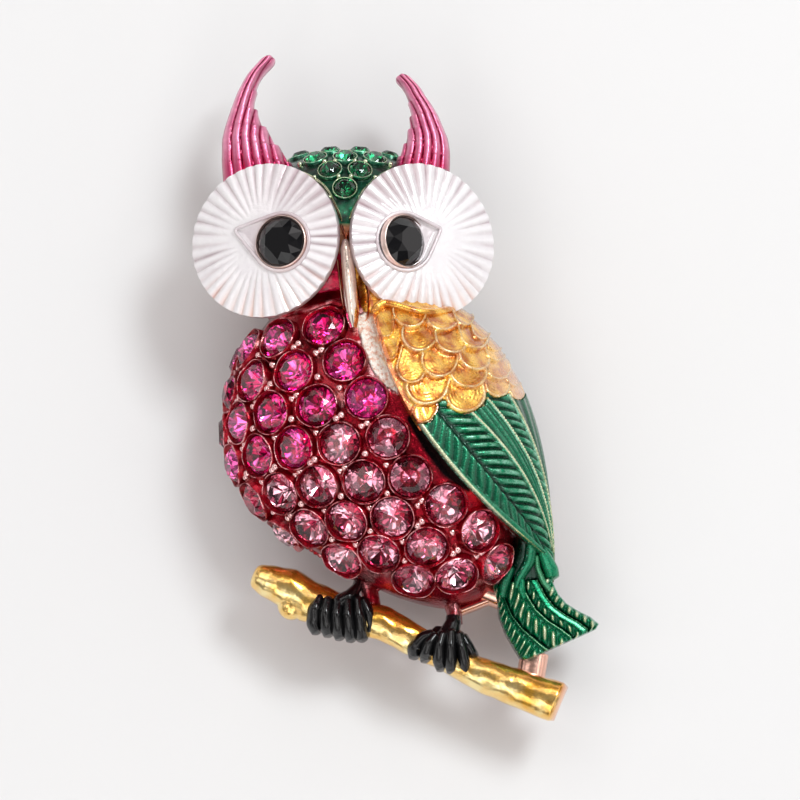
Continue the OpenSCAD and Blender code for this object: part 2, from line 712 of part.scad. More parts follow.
// Fuchsia stones above a slanting line, rose ones below it
function tint(s) = s[0].y > 0.15*s[0].x - 5.9 ? [0.75, 0.05, 0.40] : [0.85, 0.45, 0.55];
module stone(i) {
    s = stones[i];
    color(tint(s)) seat(s[0] + girdle_up*s[1], s[1]) cut_stone(stone_d, crown_h, under_h);
}
module crown_stones() {
    color([0.02, 0.40, 0.22])
        for (s = cap_stones) seat(s[0] + 0.2*s[1], s[1]) cut_stone(cap_d, 0.5, 0.8);
}
module eye_stone(i) {
    color([0.03, 0.03, 0.04]) eye_seat(i) cut_stone(eye_d, crown_h + 0.2, under_h + 0.2);
}
module pin_back() {
    top = back_z - seat_gap;
    color([0.80, 0.62, 0.52])
        translate([pin_at.x, pin_at.y, 0]) rotate([0, 0, lean - 90]) union() {
            translate([-bar_l/2, -bar_w/2, top - bar_t]) cube([bar_l, bar_w, bar_t]);
            for (x = [-bar_l/2, bar_l/2 - block_l])
                translate([x, -bar_w/2, 0]) cube([block_l, bar_w, top - bar_t]);
            translate([-bar_l/2 + block_l, 0, 0.35*pin_room]) rotate([0, 90, 0])
                cylinder(d = pin_d, h = bar_l - 2*block_l, $fn = 24);
        }
}

function stone_name(i) = str("stone_", i < 9 ? "0" : "", i + 1);
casting();
pin_back();
eye_stone(0);  // eye_stone_left
eye_stone(1);  // eye_stone_right
crown_stones();
for (i = [0:len(stones) - 1])
    stone(i);
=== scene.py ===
"""An enamelled owl brooch on a branch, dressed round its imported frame.

Lengths are millimetres until a mesh is made. X is right, Y is up the owl, Z is out of its face.
"""
import math

import bmesh
import bpy
import numpy as np
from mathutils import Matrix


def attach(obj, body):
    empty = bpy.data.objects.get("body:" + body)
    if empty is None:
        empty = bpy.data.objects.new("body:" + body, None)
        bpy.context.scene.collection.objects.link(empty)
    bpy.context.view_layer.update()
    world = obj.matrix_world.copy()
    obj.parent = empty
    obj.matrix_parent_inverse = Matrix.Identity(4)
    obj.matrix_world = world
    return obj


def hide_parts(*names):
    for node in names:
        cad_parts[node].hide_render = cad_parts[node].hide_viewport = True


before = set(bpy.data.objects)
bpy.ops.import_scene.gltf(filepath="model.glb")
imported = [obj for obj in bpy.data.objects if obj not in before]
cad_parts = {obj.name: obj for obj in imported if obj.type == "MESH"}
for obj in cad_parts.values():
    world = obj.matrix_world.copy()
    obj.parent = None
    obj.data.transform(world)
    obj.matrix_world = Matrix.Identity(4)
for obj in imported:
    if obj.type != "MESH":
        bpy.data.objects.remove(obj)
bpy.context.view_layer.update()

# Belly dome
# The hollow casting's main shell, zinc alloy with a raised cup for each stone, flooded between the
# cups with dark crimson enamel that shows the metal through it.
BACK = 4.8
GIRDLE_UP = 0.3
BELLY_AT = np.array([-0.4, -4.4])
BELLY_UP, BELLY_DOWN, BELLY_LEFT, BELLY_RIGHT = 17.0, 18.8, 15.6, 13.5
BELLY_H, BELLY_TUCK, SHELL = 12.5, 0.2, 1.7
STONE_D, PITCH = 3.8, 4.34
LEAN = math.radians(28)
ALONG = np.array([math.sin(LEAN), -math.cos(LEAN)])
ACROSS = np.array([-math.cos(LEAN), -math.sin(LEAN)])


def fall(x, p, q):
    return np.maximum(0, 1 - np.minimum(1, np.abs(x)) ** p) ** q


def spot(u, n):
    """A place on the plan, u down the body's axis and n out to its left."""
    return (BELLY_AT[0] + u * ALONG[0] + n * ACROSS[0], BELLY_AT[1] + u * ALONG[1] + n * ACROSS[1])


def share(u):
    return np.where(u < 0, u / BELLY_UP, u / BELLY_DOWN)


def belly_wide(u):
    return np.where(u < 0, fall(share(u), 2, 0.5), fall(share(u), 1.6, 0.62))


def belly_high(u):
    return np.where(u < 0, fall(share(u), 2, 0.34), fall(share(u), 2.3, 0.5))


def belly_tuck(u, t):
    low = np.clip((share(u) + 0.15) / 0.55, 0, 1)
    return 1 - BELLY_TUCK * low * np.maximum(0, (t - 60) / 30) ** 1.2


def belly(u, t, inset=0.0):
    """The dome's skin: t turns in degrees from its ridge to its left (90) or right (-90) rim."""
    side, up = np.sin(np.radians(t)), np.cos(np.radians(t))
    reach = np.where(t < 0, BELLY_RIGHT, BELLY_LEFT)
    x, y = spot(u, (reach - inset) * belly_wide(u) * side * belly_tuck(u, t))
    return np.stack([x, y, BACK + (BELLY_H - inset) * belly_high(u) * up], axis=-1)


def belly_hollow(share_u, t):
    u = share_u * np.where(share_u < 0, BELLY_UP, BELLY_DOWN)
    reach = np.where(t < 0, BELLY_RIGHT, BELLY_LEFT) - 1.15 * SHELL
    x, y = spot(0.88 * u, reach * belly_wide(u) * np.sin(np.radians(t)) * belly_tuck(u, t))
    up = np.maximum(0, np.cos(np.radians(t)))
    return np.stack([x, y, BACK + (BELLY_H - SHELL) * belly_high(u) * up], axis=-1)


def unit(v):
    return v / np.maximum(1e-9, np.linalg.norm(v, axis=-1, keepdims=True))


def skin_normals(points):
    """Outward normals of a table of points, worked out from their neighbours."""
    n = unit(np.cross(np.gradient(points, axis=0), np.gradient(points, axis=1)))
    return n if n[..., 2].sum() > 0 else -n


def sheet_faces(rows, columns, start=0):
    """Quads over a table of points that is stored row by row."""
    i, j = np.meshgrid(np.arange(rows - 1), np.arange(columns - 1), indexing="ij")
    a = start + (i * columns + j).ravel()
    return np.stack([a, a + 1, a + columns + 1, a + columns], axis=1).tolist()


def slab(front, back):
    """A closed solid between two tables of points that have the same rows and columns."""
    rows, columns = front.shape[:2]
    size = rows * columns
    points = np.concatenate([front.reshape(-1, 3), back.reshape(-1, 3)])
    faces = sheet_faces(rows, columns) + sheet_faces(rows, columns, size)
    border = [j for j in range(columns)] + [i * columns + columns - 1 for i in range(1, rows)]
    border += [(rows - 1) * columns + j for j in range(columns - 2, -1, -1)]
    border += [i * columns for i in range(rows - 2, 0, -1)]
    for a, b in zip(border, border[1:] + border[:1]):
        faces.append([a, b, b + size, a + size])
    return points, faces


def turns(count):
    """Evenly spaced angles of a full turn."""
    return np.linspace(0, 2 * np.pi, count, endpoint=False)


def ring_faces(rows, around, closed):
    """Quads between rings of points; closed also joins the last ring to the first."""
    i, j = np.meshgrid(np.arange(rows if closed else rows - 1), np.arange(around), indexing="ij")
    k, n = (j + 1) % around, (i + 1) % rows
    return np.stack([i * around + j, i * around + k, n * around + k, n * around + j],
                    axis=-1).reshape(-1, 4).tolist()


def loft(rings):
    """A closed solid through rings of points, with flat ends."""
    rings = np.asarray(rings)
    rows, around = rings.shape[:2]
    faces = ring_faces(rows, around, False)
    faces.append(list(range(around)))
    faces.append([(rows - 1) * around + j for j in range(around)])
    return rings.reshape(-1, 3), faces


def join(solids):
    """Several solids' points and faces as one."""
    points, faces, start = [], [], 0
    for some, theirs in solids:
        points.append(np.asarray(some).reshape(-1, 3))
        faces += [[start + v for v in face] for face in theirs]
        start += len(points[-1])
    return np.concatenate(points), faces


FLAT = 1


def make_piece(name, solid, finish, crest=None, crease=40, slot="enamelled_casting",
               stands_for="casting"):
    """Makes a mesh in metres, smooth but for its sharp edges, and hands it to the frame.

    The crest is one value, or one for each point, with 0 for the points that it leaves out. With
    the crease FLAT every facet is flat.
    """
    points, faces = solid
    mesh = bpy.data.meshes.new(name)
    mesh.from_pydata((np.asarray(points) * 0.001).tolist(), [], faces)
    if crest is not None:
        values = np.zeros(len(points), np.float32)
        values[:np.size(crest) if np.ndim(crest) else None] = np.ravel(crest)
        mesh.attributes.new("crest", "FLOAT", "POINT").data.foreach_set("value", values)
    shaper = bmesh.new()
    shaper.from_mesh(mesh)
    bmesh.ops.dissolve_degenerate(shaper, edges=shaper.edges, dist=1e-7)
    bmesh.ops.recalc_face_normals(shaper, faces=shaper.faces)
    shaper.to_mesh(mesh)
    shaper.free()
    mesh.polygons.foreach_set("use_smooth", [crease > FLAT] * len(mesh.polygons))
    mesh.set_sharp_from_angle(angle=math.radians(crease))
    for one in finish if isinstance(finish, list) else [finish]:
        mesh.materials.append(one)
    made = bpy.data.objects.new(name, mesh)
    bpy.context.scene.collection.objects.link(made)
    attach(made, "root")
    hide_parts(stands_for)
    return made


class Wire:
    """A socket of a node tree; sums on it add Math nodes."""

    def __init__(self, nodes, socket):
        self.nodes, self.socket = nodes, socket

    def maths(self, operation, first, second):
        return self.nodes.node("Math", {"operation": operation}, {0: first, 1: second})

    def __add__(self, other):
        return self.maths("ADD", self, other)

    def __sub__(self, other):
        return self.maths("SUBTRACT", self, other)

    def __rsub__(self, other):
        return self.maths("SUBTRACT", other, self)

    def __mul__(self, other):
        return self.maths("MULTIPLY", self, other)

    __radd__, __rmul__ = __add__, __mul__

    def between(self, low, high, first=0.0, last=1.0):
        """The first value below low, the last above high and a straight climb between them."""
        return self.nodes.node("MapRange", {}, {0: self, 1: low, 2: high, 3: first, 4: last})


class Nodes:
    """The node tree of a material or a world, being written."""

    def __init__(self, owner):
        owner.use_nodes = True
        self.tree = owner.node_tree

    def plug(self, socket, value):
        if isinstance(value, Wire):
            self.tree.links.new(value.socket, socket)
        elif isinstance(value, (tuple, list)) and socket.type == "RGBA":
            socket.default_value = (*value[:3], 1)
        else:
            socket.default_value = value

    def node(self, kind, settings, sockets, out=0):
        made = self.tree.nodes.new("ShaderNode" + kind)
        for name, value in settings.items():
            if name == "stops":
                ramp = made.color_ramp
                while len(ramp.elements) < len(value):
                    ramp.elements.new(1.0)
                for stop, (place, colour) in zip(ramp.elements, value):
                    stop.position, stop.color = place, (*colour, 1)
            else:
                setattr(made, name, value)
        for name, value in sockets.items():
            self.plug(made.inputs[name], value)
        return Wire(self, made.outputs[out])

    def noise(self, vector, scale, detail=3.0):
        return self.node("TexNoise", {}, {"Vector": vector, "Scale": scale, "Detail": detail})


class Finish(Nodes):
    """A material being written. Constants go on the surface's own sockets."""

    def __init__(self, name, **constants):
        self.material = bpy.data.materials.new(name)
        super().__init__(self.material)
        self.surface = self.tree.nodes["Principled BSDF"]
        self.set(**constants)

    def set(self, **values):
        for socket, value in values.items():
            self.plug(self.surface.inputs[socket.replace("_", " ")], value)

    def places(self):
        """X, Y and Z in millimetres, and the three as one vector."""
        metres = self.node("TexCoord", {}, {}, out=3)
        vector = self.node("VectorMath", {"operation": "SCALE"}, {0: metres, "Scale": 1000.0})
        return [self.node("SeparateXYZ", {}, {0: vector}, out=k) for k in range(3)] + [vector]

    def carried(self, name):
        """A value that the mesh carries."""
        return self.node("Attribute", {"attribute_name": name}, {}, out=2)

    def mix(self, factor, first, second):
        return self.node("Mix", {"data_type": "RGBA"}, {0: factor, 6: first, 7: second}, out=2)

    def bump(self, height, distance):
        """Small relief, its distance in millimetres."""
        self.set(Normal=self.node("Bump", {}, {"Height": height, "Distance": distance * 0.001}))


ROSE_GOLD = (0.88, 0.56, 0.46)


def crimson_enamel():
    """Crest: -1 in the slots, painted near-black as shade; 0 enamel; 1 worn edges with a painted
    highlight; 2 rough bare metal.
    """
    finish = Finish("crimson_enamel", Specular_IOR_Level=0.2, Coat_Roughness=0.03)
    vector = finish.places()[3]
    crest = finish.carried("crest")
    cloud = finish.noise(vector, 0.5)
    enamel = finish.mix(cloud.between(0.3, 0.7), (0.10, 0.0, 0.003), (0.46, 0.004, 0.022))
    thin = finish.noise(vector, 0.33).between(0.62, 0.70) * 0.35
    enamel = finish.mix(thin, enamel, (0.80, 0.42, 0.42))
    # wear and a painted highlight: pale pink patches where the crest is high
    edge = crest.between(0.3, 0.9) * finish.noise(vector, 1.1).between(0.44, 0.60)
    wear_and_sheen = finish.mix(edge, enamel, (0.95, 0.48, 0.50))
    grain = finish.noise(vector, 2.8, 6.0)
    rough_metal = finish.mix(grain.between(0.38, 0.52), (0.82, 0.50, 0.38), (1.0, 0.96, 0.88))
    open_metal = (crest + 0.5 * finish.noise(vector, 2.0)).between(1.5, 1.9)
    bare = finish.mix(open_metal, wear_and_sheen, rough_metal)
    shadow = crest.between(-0.2, -0.8)
    finish.set(Coat_Weight=0.25 - 0.25 * shadow, Metallic=0.75 - 0.6 * open_metal,
               Base_Color=finish.mix(shadow, bare, (0.004, 0.001, 0.002)),
               Roughness=0.14 + 0.20 * finish.noise(vector, 2.5) + 0.15 * open_metal)
    finish.bump(finish.noise(vector, 3.0) + 6.0 * open_metal * grain, 0.06)
    return finish.material


crimson = crimson_enamel()


def stone_place(points):
    """Centre of a stone's girdle and its axis, read from its corners: all the rest is symmetric."""
    points = np.unique(np.round(points, 4), axis=0)
    middle = points.mean(axis=0)
    axis = np.linalg.eigh(np.cov((points - middle).T))[1][:, 0]
    along = (points - middle) @ axis
    wide = np.linalg.norm(points - middle - along[:, None] * axis, axis=1)
    top, foot = wide[along > along.max() - 0.05].mean(), wide[along < along.min() + 0.05].mean()
    if top < foot:
        axis, along = -axis, -along
    girdle = np.median(along[wide > 0.9 * wide.max()])
    return middle + girdle * axis, axis


STONE_NODES = sorted(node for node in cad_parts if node.startswith("stone_"))
stones = [stone_place(np.array([v.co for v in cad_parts[node].data.vertices]) * 1000)
          for node in STONE_NODES]
stone_at = np.array([s[0] for s in stones])
stone_out = np.array([s[1] for s in stones])


WELL_R, WELL_DEPTH, WELL_REACH = 1.98, 1.45, 2.2


def sink_wells(skin, places, radius, depth):
    """Lowers a skin to a flat floor inside each stone's well."""
    for centre, axis in places:
        rel = skin - centre
        along = rel @ axis
        wide = np.linalg.norm(rel - along[..., None] * axis, axis=-1)
        inside = (wide < radius) & (np.abs(along) < WELL_REACH)
        skin[inside] += (-depth - along[inside])[:, None] * axis


# rows crowd towards both ends and stop just short of them
LAST_TURN = np.pi / 2 * 0.985
u = np.concatenate([-BELLY_UP * np.sin(np.linspace(LAST_TURN, 0, 76)),
                    BELLY_DOWN * np.sin(np.linspace(0, LAST_TURN, 84))[1:]])
U, T = np.meshgrid(u, np.linspace(-90, 90, 180), indexing="ij")
dome = belly(U, T, -0.1 * np.sqrt(np.maximum(0, np.cos(np.radians(T)))))
plain_dome = dome.copy()
sink_wells(dome, stones, WELL_R, WELL_DEPTH)
hollow = belly_hollow(0.97 * share(U), T)
# the camera's angle above the table, and the height that it looks at
CAMERA_UP, AIM_Z = math.radians(79), 12


def picture_up(points):
    """How high a point shows in the camera's picture."""
    return points[..., 1] * math.sin(CAMERA_UP) + (points[..., 2] - AIM_Z) * math.cos(CAMERA_UP)


def pictured(x, up, z):
    """The place at height z that shows at this X and height in the picture."""
    return np.array([x, (up - (z - AIM_Z) * math.cos(CAMERA_UP)) / math.sin(CAMERA_UP), z])


def seen_at(skin, x, up):
    """Row and column of the skin's point that shows at this X and height in the picture."""
    off = (skin[..., 0] - x) ** 2 + (picture_up(skin) - up) ** 2
    return np.unravel_index(np.argmin(off), off.shape)


def near_line(points, line):
    """1 on a line drawn in the picture and 0 beyond its half width: rows of X, height, width."""
    x, y, best = points[..., 0], picture_up(points), np.zeros(points.shape[:-1])
    for (ax, ay, aw), (bx, by, bw) in zip(line, line[1:]):
        along = np.clip(((x - ax) * (bx - ax) + (y - ay) * (by - ay))
                        / ((bx - ax) ** 2 + (by - ay) ** 2), 0, 1)
        off = np.hypot(x - ax - along * (bx - ax), y - ay - along * (by - ay))
        best = np.maximum(best, np.clip(1.5 - off / (aw + along * (bw - aw)), 0, 1))
    return best


# lines drawn in the picture: rows of X, height and half width
BARE_NECK = [(-2.9, 5.8, 1.15), (-2.2, 3.3, 1.2), (-1.4, 1.2, 1.0), (-0.7, -0.1, 0.6),
             (0.2, -0.9, 0.3)]
BARE_HIP = [(11.0, -13.8, 0.5), (12.0, -14.9, 0.6)]
SLOT = [(1.4, -3.6, 0.35), (3.2, -6.4, 0.6), (5.0, -8.6, 0.75), (7.0, -10.3, 0.4)]
tint = 2 * np.maximum(near_line(dome, BARE_NECK), near_line(dome, BARE_HIP))
# painted shade: the slot beside the wing is marked -1, which the enamel turns near-black
tint = np.where(tint > 0.1, tint, -near_line(dome, SLOT))
brim = np.clip((BACK + 1.7 - dome[..., 2]) / 0.6, 0, 1) * (share(U) > 0.2)
tint = np.where(tint == 0, 0.9 * brim, tint)
make_piece("belly_dome", slab(dome, hollow), crimson, crest=tint)

# Cups
# Each stone sits in its own thin round wall that was cast with the dome; enamel runs up the wall
# and the plated edge is left bare.
CUP_PROFILE = [
    # half width, height above the girdle, bareness
    (1.91, -0.70, 0.0), (1.91, -0.04, 0.0), (1.97, 0.02, 0.0), (2.06, 0.30, 0.0), (2.10, 0.39, 0.7),
    (2.13, 0.41, 1.0), (2.17, 0.38, 0.8), (2.21, 0.20, 0.0), (2.30, -0.15, 0.0), (2.36, -0.70, 0.0),
]


def frame_of(axis):
    side = unit(np.cross([0, 1, 0.001], axis))
    return side, np.cross(axis, side)


def spokes(axis, a):
    """Directions across an axis at the angles a."""
    side, up = frame_of(axis)
    return np.cos(a)[:, None] * side + np.sin(a)[:, None] * up


def turned(profile, centre, axis, around, uneven=0.0):
    """A closed ring turned about a stone's axis from a profile of width and height."""
    a = turns(around)
    spin = spokes(axis, a)
    sway = uneven * (np.sin(2 * a + 9 * centre[0]) + 0.6 * np.sin(5 * a + 7 * centre[1]))[:, None]
    rings = np.array([centre + (row[0] + 0.3 * sway * (row[1] > 0)) * spin
                      + (row[1] + sway * (row[1] > 0.1)) * axis for row in profile])
    return rings.reshape(-1, 3), ring_faces(len(profile), around, True)


def make_cups(name, profile, places, around, finish, uneven=0.0):
    walls = [turned(profile, centre, axis, around, uneven) for centre, axis in places]
    bare = np.tile(np.repeat([row[2] for row in profile], around), len(places))
    make_piece(name, join(walls), finish, crest=bare, crease=60)


make_cups("stone_cups", CUP_PROFILE, stones, 48, crimson, 0.09)

# Prong beads
# Little round heads raised from the metal in the gaps between three cups, polished bare.
PRONG_D = 0.7


def lanes_of(places):
    lanes = [[places[0]]]
    for before, place in zip(places, places[1:]):
        if np.linalg.norm(place - before) > 1.3 * PITCH:
            lanes.append([])
        lanes[-1].append(place)
    return lanes


def prong_spots(side):
    found = []
    ridge = np.array([0.0, 0.0, 1.0])
    on_skin = stone_at - GIRDLE_UP * stone_out
    for lane in lanes_of(list(on_skin)):
        for a, b in zip(lane, lane[1:]):
            mid = (a + b) / 2
            out = np.cross(ridge + mid - [*BELLY_AT, BACK], b - a)
            tries = [mid + side * s * PITCH * unit(out) for s in (0.26, 0.32, 0.38, 0.44, 0.5)]
            room = [np.linalg.norm(on_skin - p, axis=1).min() for p in tries]
            if STONE_D / 2 + PRONG_D / 2 < max(room) < 0.66 * PITCH:
                k = int(np.argmax(room))
                found.append(tries[k])
                if k > 0 and len(found) % 3:
                    found.append(tries[k] - side * 0.14 * PITCH * unit(out))
    return found


def bead(centre, axis, width, height, around=14, steps=6):
    """A round head on a short stalk."""
    spin = spokes(axis, turns(around))
    rows = [(width, -0.8), (width, 0.0)]
    rows += [(width * math.cos(s), height * math.sin(s))
             for s in np.linspace(0, np.pi / 2 * 0.93, steps)[1:]]
    return loft([centre + w * spin + h * axis for w, h in rows])


prongs = prong_spots(1)
prongs += [p for p in prong_spots(-1)
           if min(np.linalg.norm(p - q) for q in prongs) > 1.1 * PRONG_D]


def bead_metal(name, colour, low_colour):
    finish = Finish(name, Metallic=1.0)
    vector = finish.places()[3]
    finish.set(Base_Color=finish.mix(finish.noise(vector, 1.4), colour, low_colour),
               Roughness=0.12 + 0.2 * finish.noise(vector, 3.0))
    return finish.material


prong_metal = bead_metal("prong_metal", (0.95, 0.72, 0.68), (0.80, 0.34, 0.38))
prong_out = [unit(p - [*BELLY_AT, BACK - 2]) for p in prongs]
make_piece("prong_beads",
           join([bead(p + 0.38 * n, n, 0.40, 0.42) for p, n in zip(prongs, prong_out)]),
           prong_metal)

# a row of small grains along the dome's lower left edge
grains = []
for down in np.linspace(0.25, 0.68, 20):
    at = belly(BELLY_DOWN * down, 77.0)
    grains.append(bead(at, unit(at - [*BELLY_AT, BACK - 2]), 0.34, 0.34, 10, 5))
make_piece("edge_grains", join(grains), crimson, crest=0.7)

# Belly stones
# Round brilliants of coloured glass with a foiled back: the foil's facets throw the light back
# through the crown. Sixteen are fuchsia, the rest rose. Each is pressed and glued in its cup.
FACET_ROWS = [
    # share of the radius, share of the crown's or the back's depth, places round, first turn
    (0.54, 1.00, 8, 0.0),
    (0.78, 0.58, 8, 22.5),
    (1.00, 0.00, 16, 0.0),
    (0.51, -0.55, 8, 22.5),
    (0.06, -1.00, 8, 0.0),
]


CROWN_FACETS = 33


def brilliant(centre, axis, width, crown, under, turn):
    """Points and facets of a cut stone, first the crown's and then those of its back."""
    side, up = frame_of(axis)
    points = []
    for reach, height, count, first in FACET_ROWS:
        for k in range(count):
            a = math.radians(first + 360 / count * k + turn)
            h = height * (crown if height > 0 else under)
            points.append(centre + width * reach * (math.cos(a) * side + math.sin(a) * up)
                          + h * axis)
    table, star, girdle, low, foot = 0, 8, 16, 32, 40
    faces = [[table + k for k in range(8)]]
    back = []
    for k in range(8):
        n = (k + 1) % 8
        faces.append([table + k, table + n, star + k])
        faces.append([table + n, star + k, girdle + 2 * n, star + n])
        faces.append([star + k, girdle + 2 * k, girdle + 2 * k + 1])
        faces.append([star + k, girdle + 2 * k + 1, girdle + 2 * n])
        back.append([low + k, girdle + 2 * k, girdle + 2 * k + 1])
        back.append([low + k, girdle + 2 * k + 1, girdle + 2 * n])
        back.append([foot + n, low + k, girdle + 2 * n, low + n])
        back.append([foot + k, foot + n, low + k])
    back.append([foot + k for k in range(8)])
    return points, faces + back


def cut_glass(name, body):
    return Finish(name, Base_Color=body, Roughness=0.0, IOR=1.58, Transmission_Weight=1.0,
                  Specular_IOR_Level=0.6).material


def foil(name, dark, middle, bright):
    finish = Finish(name, Metallic=0.92)
    glint = finish.carried("glint")
    # painted glints: the foil of each facet is coloured from dark to bright by its glint
    tone = finish.node("ValToRGB", {"stops": [(0.0, dark), (0.45, middle), (1.0, bright)]},
                       {0: glint})
    grain = finish.noise(finish.places()[3], 6.0)
    finish.set(Base_Color=tone, Roughness=0.02 + 0.05 * grain)
    return finish.material


def back_with_foil(stone_mesh, places, below, glint_of):
    """Puts the foil on the facets below each girdle and gives every facet its glint."""
    facets = len(stone_mesh.polygons) // len(places)
    glints = stone_mesh.attributes.new("glint", "FLOAT", "FACE")
    for k, face in enumerate(stone_mesh.polygons):
        centre, axis = places[k // facets]
        face.material_index = int((np.array(face.center) * 1000 - centre) @ axis < -below)
        glints.data[k].value = glint_of(k)


def chaton(node, place, number, glow, glass, backing, slot):
    """One foiled belly stone, each turned and shaded a little differently."""
    def glint_of(k):
        part = (k - CROWN_FACETS) // 4 + ((k - CROWN_FACETS) % 4 in (1, 2))
        return glow + 0.5 * math.sin(7.7 * part * part + 3.1 * number + 2.9 * part
                                     + 0.5 * math.sin(5.0 * k))

    solid = brilliant(*place, STONE_D / 2, 0.85, 1.28, 17 * number % 45)
    made = make_piece("chaton_" + node[-2:], solid, [glass, backing], crease=FLAT, slot=slot,
                      stands_for=node)
    back_with_foil(made.data, [place], 0.02, glint_of)


fuchsia_glass = cut_glass("fuchsia_glass", (1.0, 0.22, 0.56))
fuchsia_foil = foil("fuchsia_foil", (0.32, 0.0, 0.07), (0.80, 0.05, 0.36), (1.0, 0.68, 0.92))
rose_glass = cut_glass("rose_glass", (1.0, 0.60, 0.70))
rose_foil = foil("rose_foil", (0.26, 0.015, 0.05), (0.86, 0.30, 0.44), (1.0, 0.92, 0.95))
for number, (node, place) in enumerate(zip(STONE_NODES, stones)):
    x, y, _ = place[0] - GIRDLE_UP * place[1]
    if y > 0.15 * x - 5.9:
        kind = (fuchsia_glass, fuchsia_foil, "fuchsia_stone")
    else:
        kind = (rose_glass, rose_foil, "rose_stone")
    # painted highlight: the third stone beside the wing gets brighter foil on every facet
    glow = 1.0 if node == "stone_03" else 0.5
    chaton(node, place, number, glow, *kind)

# Throat collar
# A rolled crimson edge where the head was cast to the body, above the first stones.
THROAT = [
    # X and picture height
    (-12.4, 6.2), (-11.0, 6.4), (-8.4, 7.0), (-6.2, 7.6), (-5.2, 7.2),
]


def limb(rows, around=20, steps=30, ridge=0.0):
    """A smooth bar through rows of x, y, z, half width and half depth."""
    rows = np.array(rows, float)
    key = np.linspace(0, 1, len(rows))
    fine = 0.5 - 0.5 * np.cos(np.linspace(0, np.pi, steps))
    track = np.stack([np.interp(fine, key, rows[:, k]) for k in range(5)], axis=1)
    for _ in range(3):
        track[1:-1] = (track[:-2] + 2 * track[1:-1] + track[2:]) / 4
    track[:, 3:] *= np.sqrt(np.minimum(1, 0.05 + np.minimum(fine, 1 - fine) / 0.08))[:, None]
    way = unit(np.gradient(track[:, :2], axis=0))
    a = turns(around)
    rings = []
    for row, w in zip(track, way):
        wide = row[3] * np.cos(a)
        high = row[4] * (np.sin(a) + ridge * np.abs(np.sin(a)) ** 6 * (np.sin(a) > 0))
        rings.append(np.column_stack([row[0] - w[1] * wide, row[1] + w[0] * wide, row[2] + high]))
    return loft(rings)


throat = []
for x, up in THROAT:
    at = plain_dome[seen_at(plain_dome, x, up)]
    throat.append((at[0], at[1], at[2] + 0.1, 0.38, 0.50))
make_piece("throat_collar", limb(throat, 16, 50), crimson, crest=0.5)

# Wing plate
# A plate cast in one with the dome and standing over its right side, left as rose-gold plate on
# its upright outer wall and under the wing.
WING_W, WING_DOWN, WING_STEP, WING_T, WING_WALL = 13.5, 20.8, 1.3, 2.0, 2.0


def wing_share(u):
    return np.where(u < 0, u / BELLY_UP, u / WING_DOWN)


def wing(u, v, lift=0.0):
    """A place on the wing: u as on the belly, v from its inner edge (0) to its outer edge (1)."""
    s = wing_share(u)
    reach = WING_W * np.where(u < 0, fall(s, 2, 0.5), 1 - 0.54 * np.abs(s) ** 1.8)
    inner = WING_W * (0.12 + np.where(u < 0, 0.34 * s ** 2,
                                      0.36 * np.abs(s) ** 1.6 + 0.22 * np.abs(s) ** 3.2))
    high = WING_STEP + BELLY_H * np.where(u < 0, fall(s, 2, 0.42), 1 - 0.62 * np.abs(s) ** 2.2)
    first = np.degrees(np.arcsin(np.minimum(0.97, inner / np.maximum(1e-6, reach))))
    a = np.radians(first + (90 - first) * v)
    x, y = spot(u, -(reach + lift) * np.sin(a))
    return np.stack([x, y, BACK + WING_WALL + (high - WING_WALL + lift) * np.cos(a)], axis=-1)


def plated(name, colour=ROSE_GOLD, rough=0.16, scuff=0.14):
    """Bright plate with faint clouding and hairline unevenness."""
    finish = Finish(name, Metallic=1.0)
    vector = finish.places()[3]
    cloud = finish.noise(vector, 2.0)
    warm = tuple(c * s for c, s in zip(colour, (0.94, 0.82, 0.74)))
    finish.set(Base_Color=finish.mix(cloud, colour, warm), Roughness=rough + scuff * cloud)
    finish.bump(finish.noise(vector, 1.2), 0.03)
    return finish.material


rose_plate = plated("rose_gold_plate")
wing_rings = []
for x in np.linspace(-0.78, 1.0, 110):
    u = x * (BELLY_UP if x < 0 else WING_DOWN)
    top = wing(u, np.linspace(0, 1, 41))
    edge = top[-1].copy()
    edge[2] = max(BACK, edge[2] - WING_WALL)
    v = np.linspace(1, 0, 21)
    under = wing(u, v, -WING_T * v)
    under[:, 2] = np.maximum(BACK, under[:, 2] - WING_WALL * v - WING_T * (1 - v))
    wing_rings.append(np.concatenate([top, [edge], under]))
make_piece("wing_plate", loft(wing_rings), rose_plate, crease=50)

# Wing scales
# Rounded scales cast in rows, each dished inside a raised lip and lapping the next row; honey
# enamel lies in the dishes and the lips are bare gold.
SCALES = [
    # X and picture height of the tip, half width, length, turn of the tip to the right in degrees
    (2.1, -4.1, 1.1, 2.4, -24),
    (12.1, -1.8, 0.7, 1.8, 24),
    (10.1, -1.6, 1.35, 2.4, 14),
    (6.7, -3.3, 2.05, 3.4, 6),
    (2.3, -2.5, 2.10, 3.4, -16),
    (11.8, -0.5, 0.8, 2.2, 24),
    (10.2, 0.05, 1.3, 2.2, 12),
    (7.0, -0.95, 2.0, 2.6, 6),
    (0.9, -0.3, 1.55, 3.4, -18),
    (3.9, 0.15, 1.85, 3.0, -8),
    (7.7, 0.85, 1.7, 2.4, 4),
    (10.0, 1.9, 1.1, 1.9, 15),
    (9.9, 2.9, 0.9, 1.9, 20),
    (2.0, 2.6, 1.85, 3.0, -8),
    (5.3, 2.4, 1.7, 2.6, 2),
    (7.8, 2.95, 1.6, 2.6, 9),
    (8.5, 3.9, 1.0, 1.9, 15),
    (4.4, 4.5, 1.8, 2.4, 0),
    (6.7, 5.1, 1.0, 2.0, 14),
    (1.0, 4.9, 1.8, 2.0, -8),
    (-0.9, 1.9, 0.9, 2.4, -12),
    (-1.3, 4.0, 0.9, 2.2, -10),
]
wing_u, wing_v = np.meshgrid(np.linspace(-13, 20, 331), np.linspace(0, 1, 201), indexing="ij")
wing_cloud = wing(wing_u, wing_v)
wing_out = skin_normals(wing_cloud)


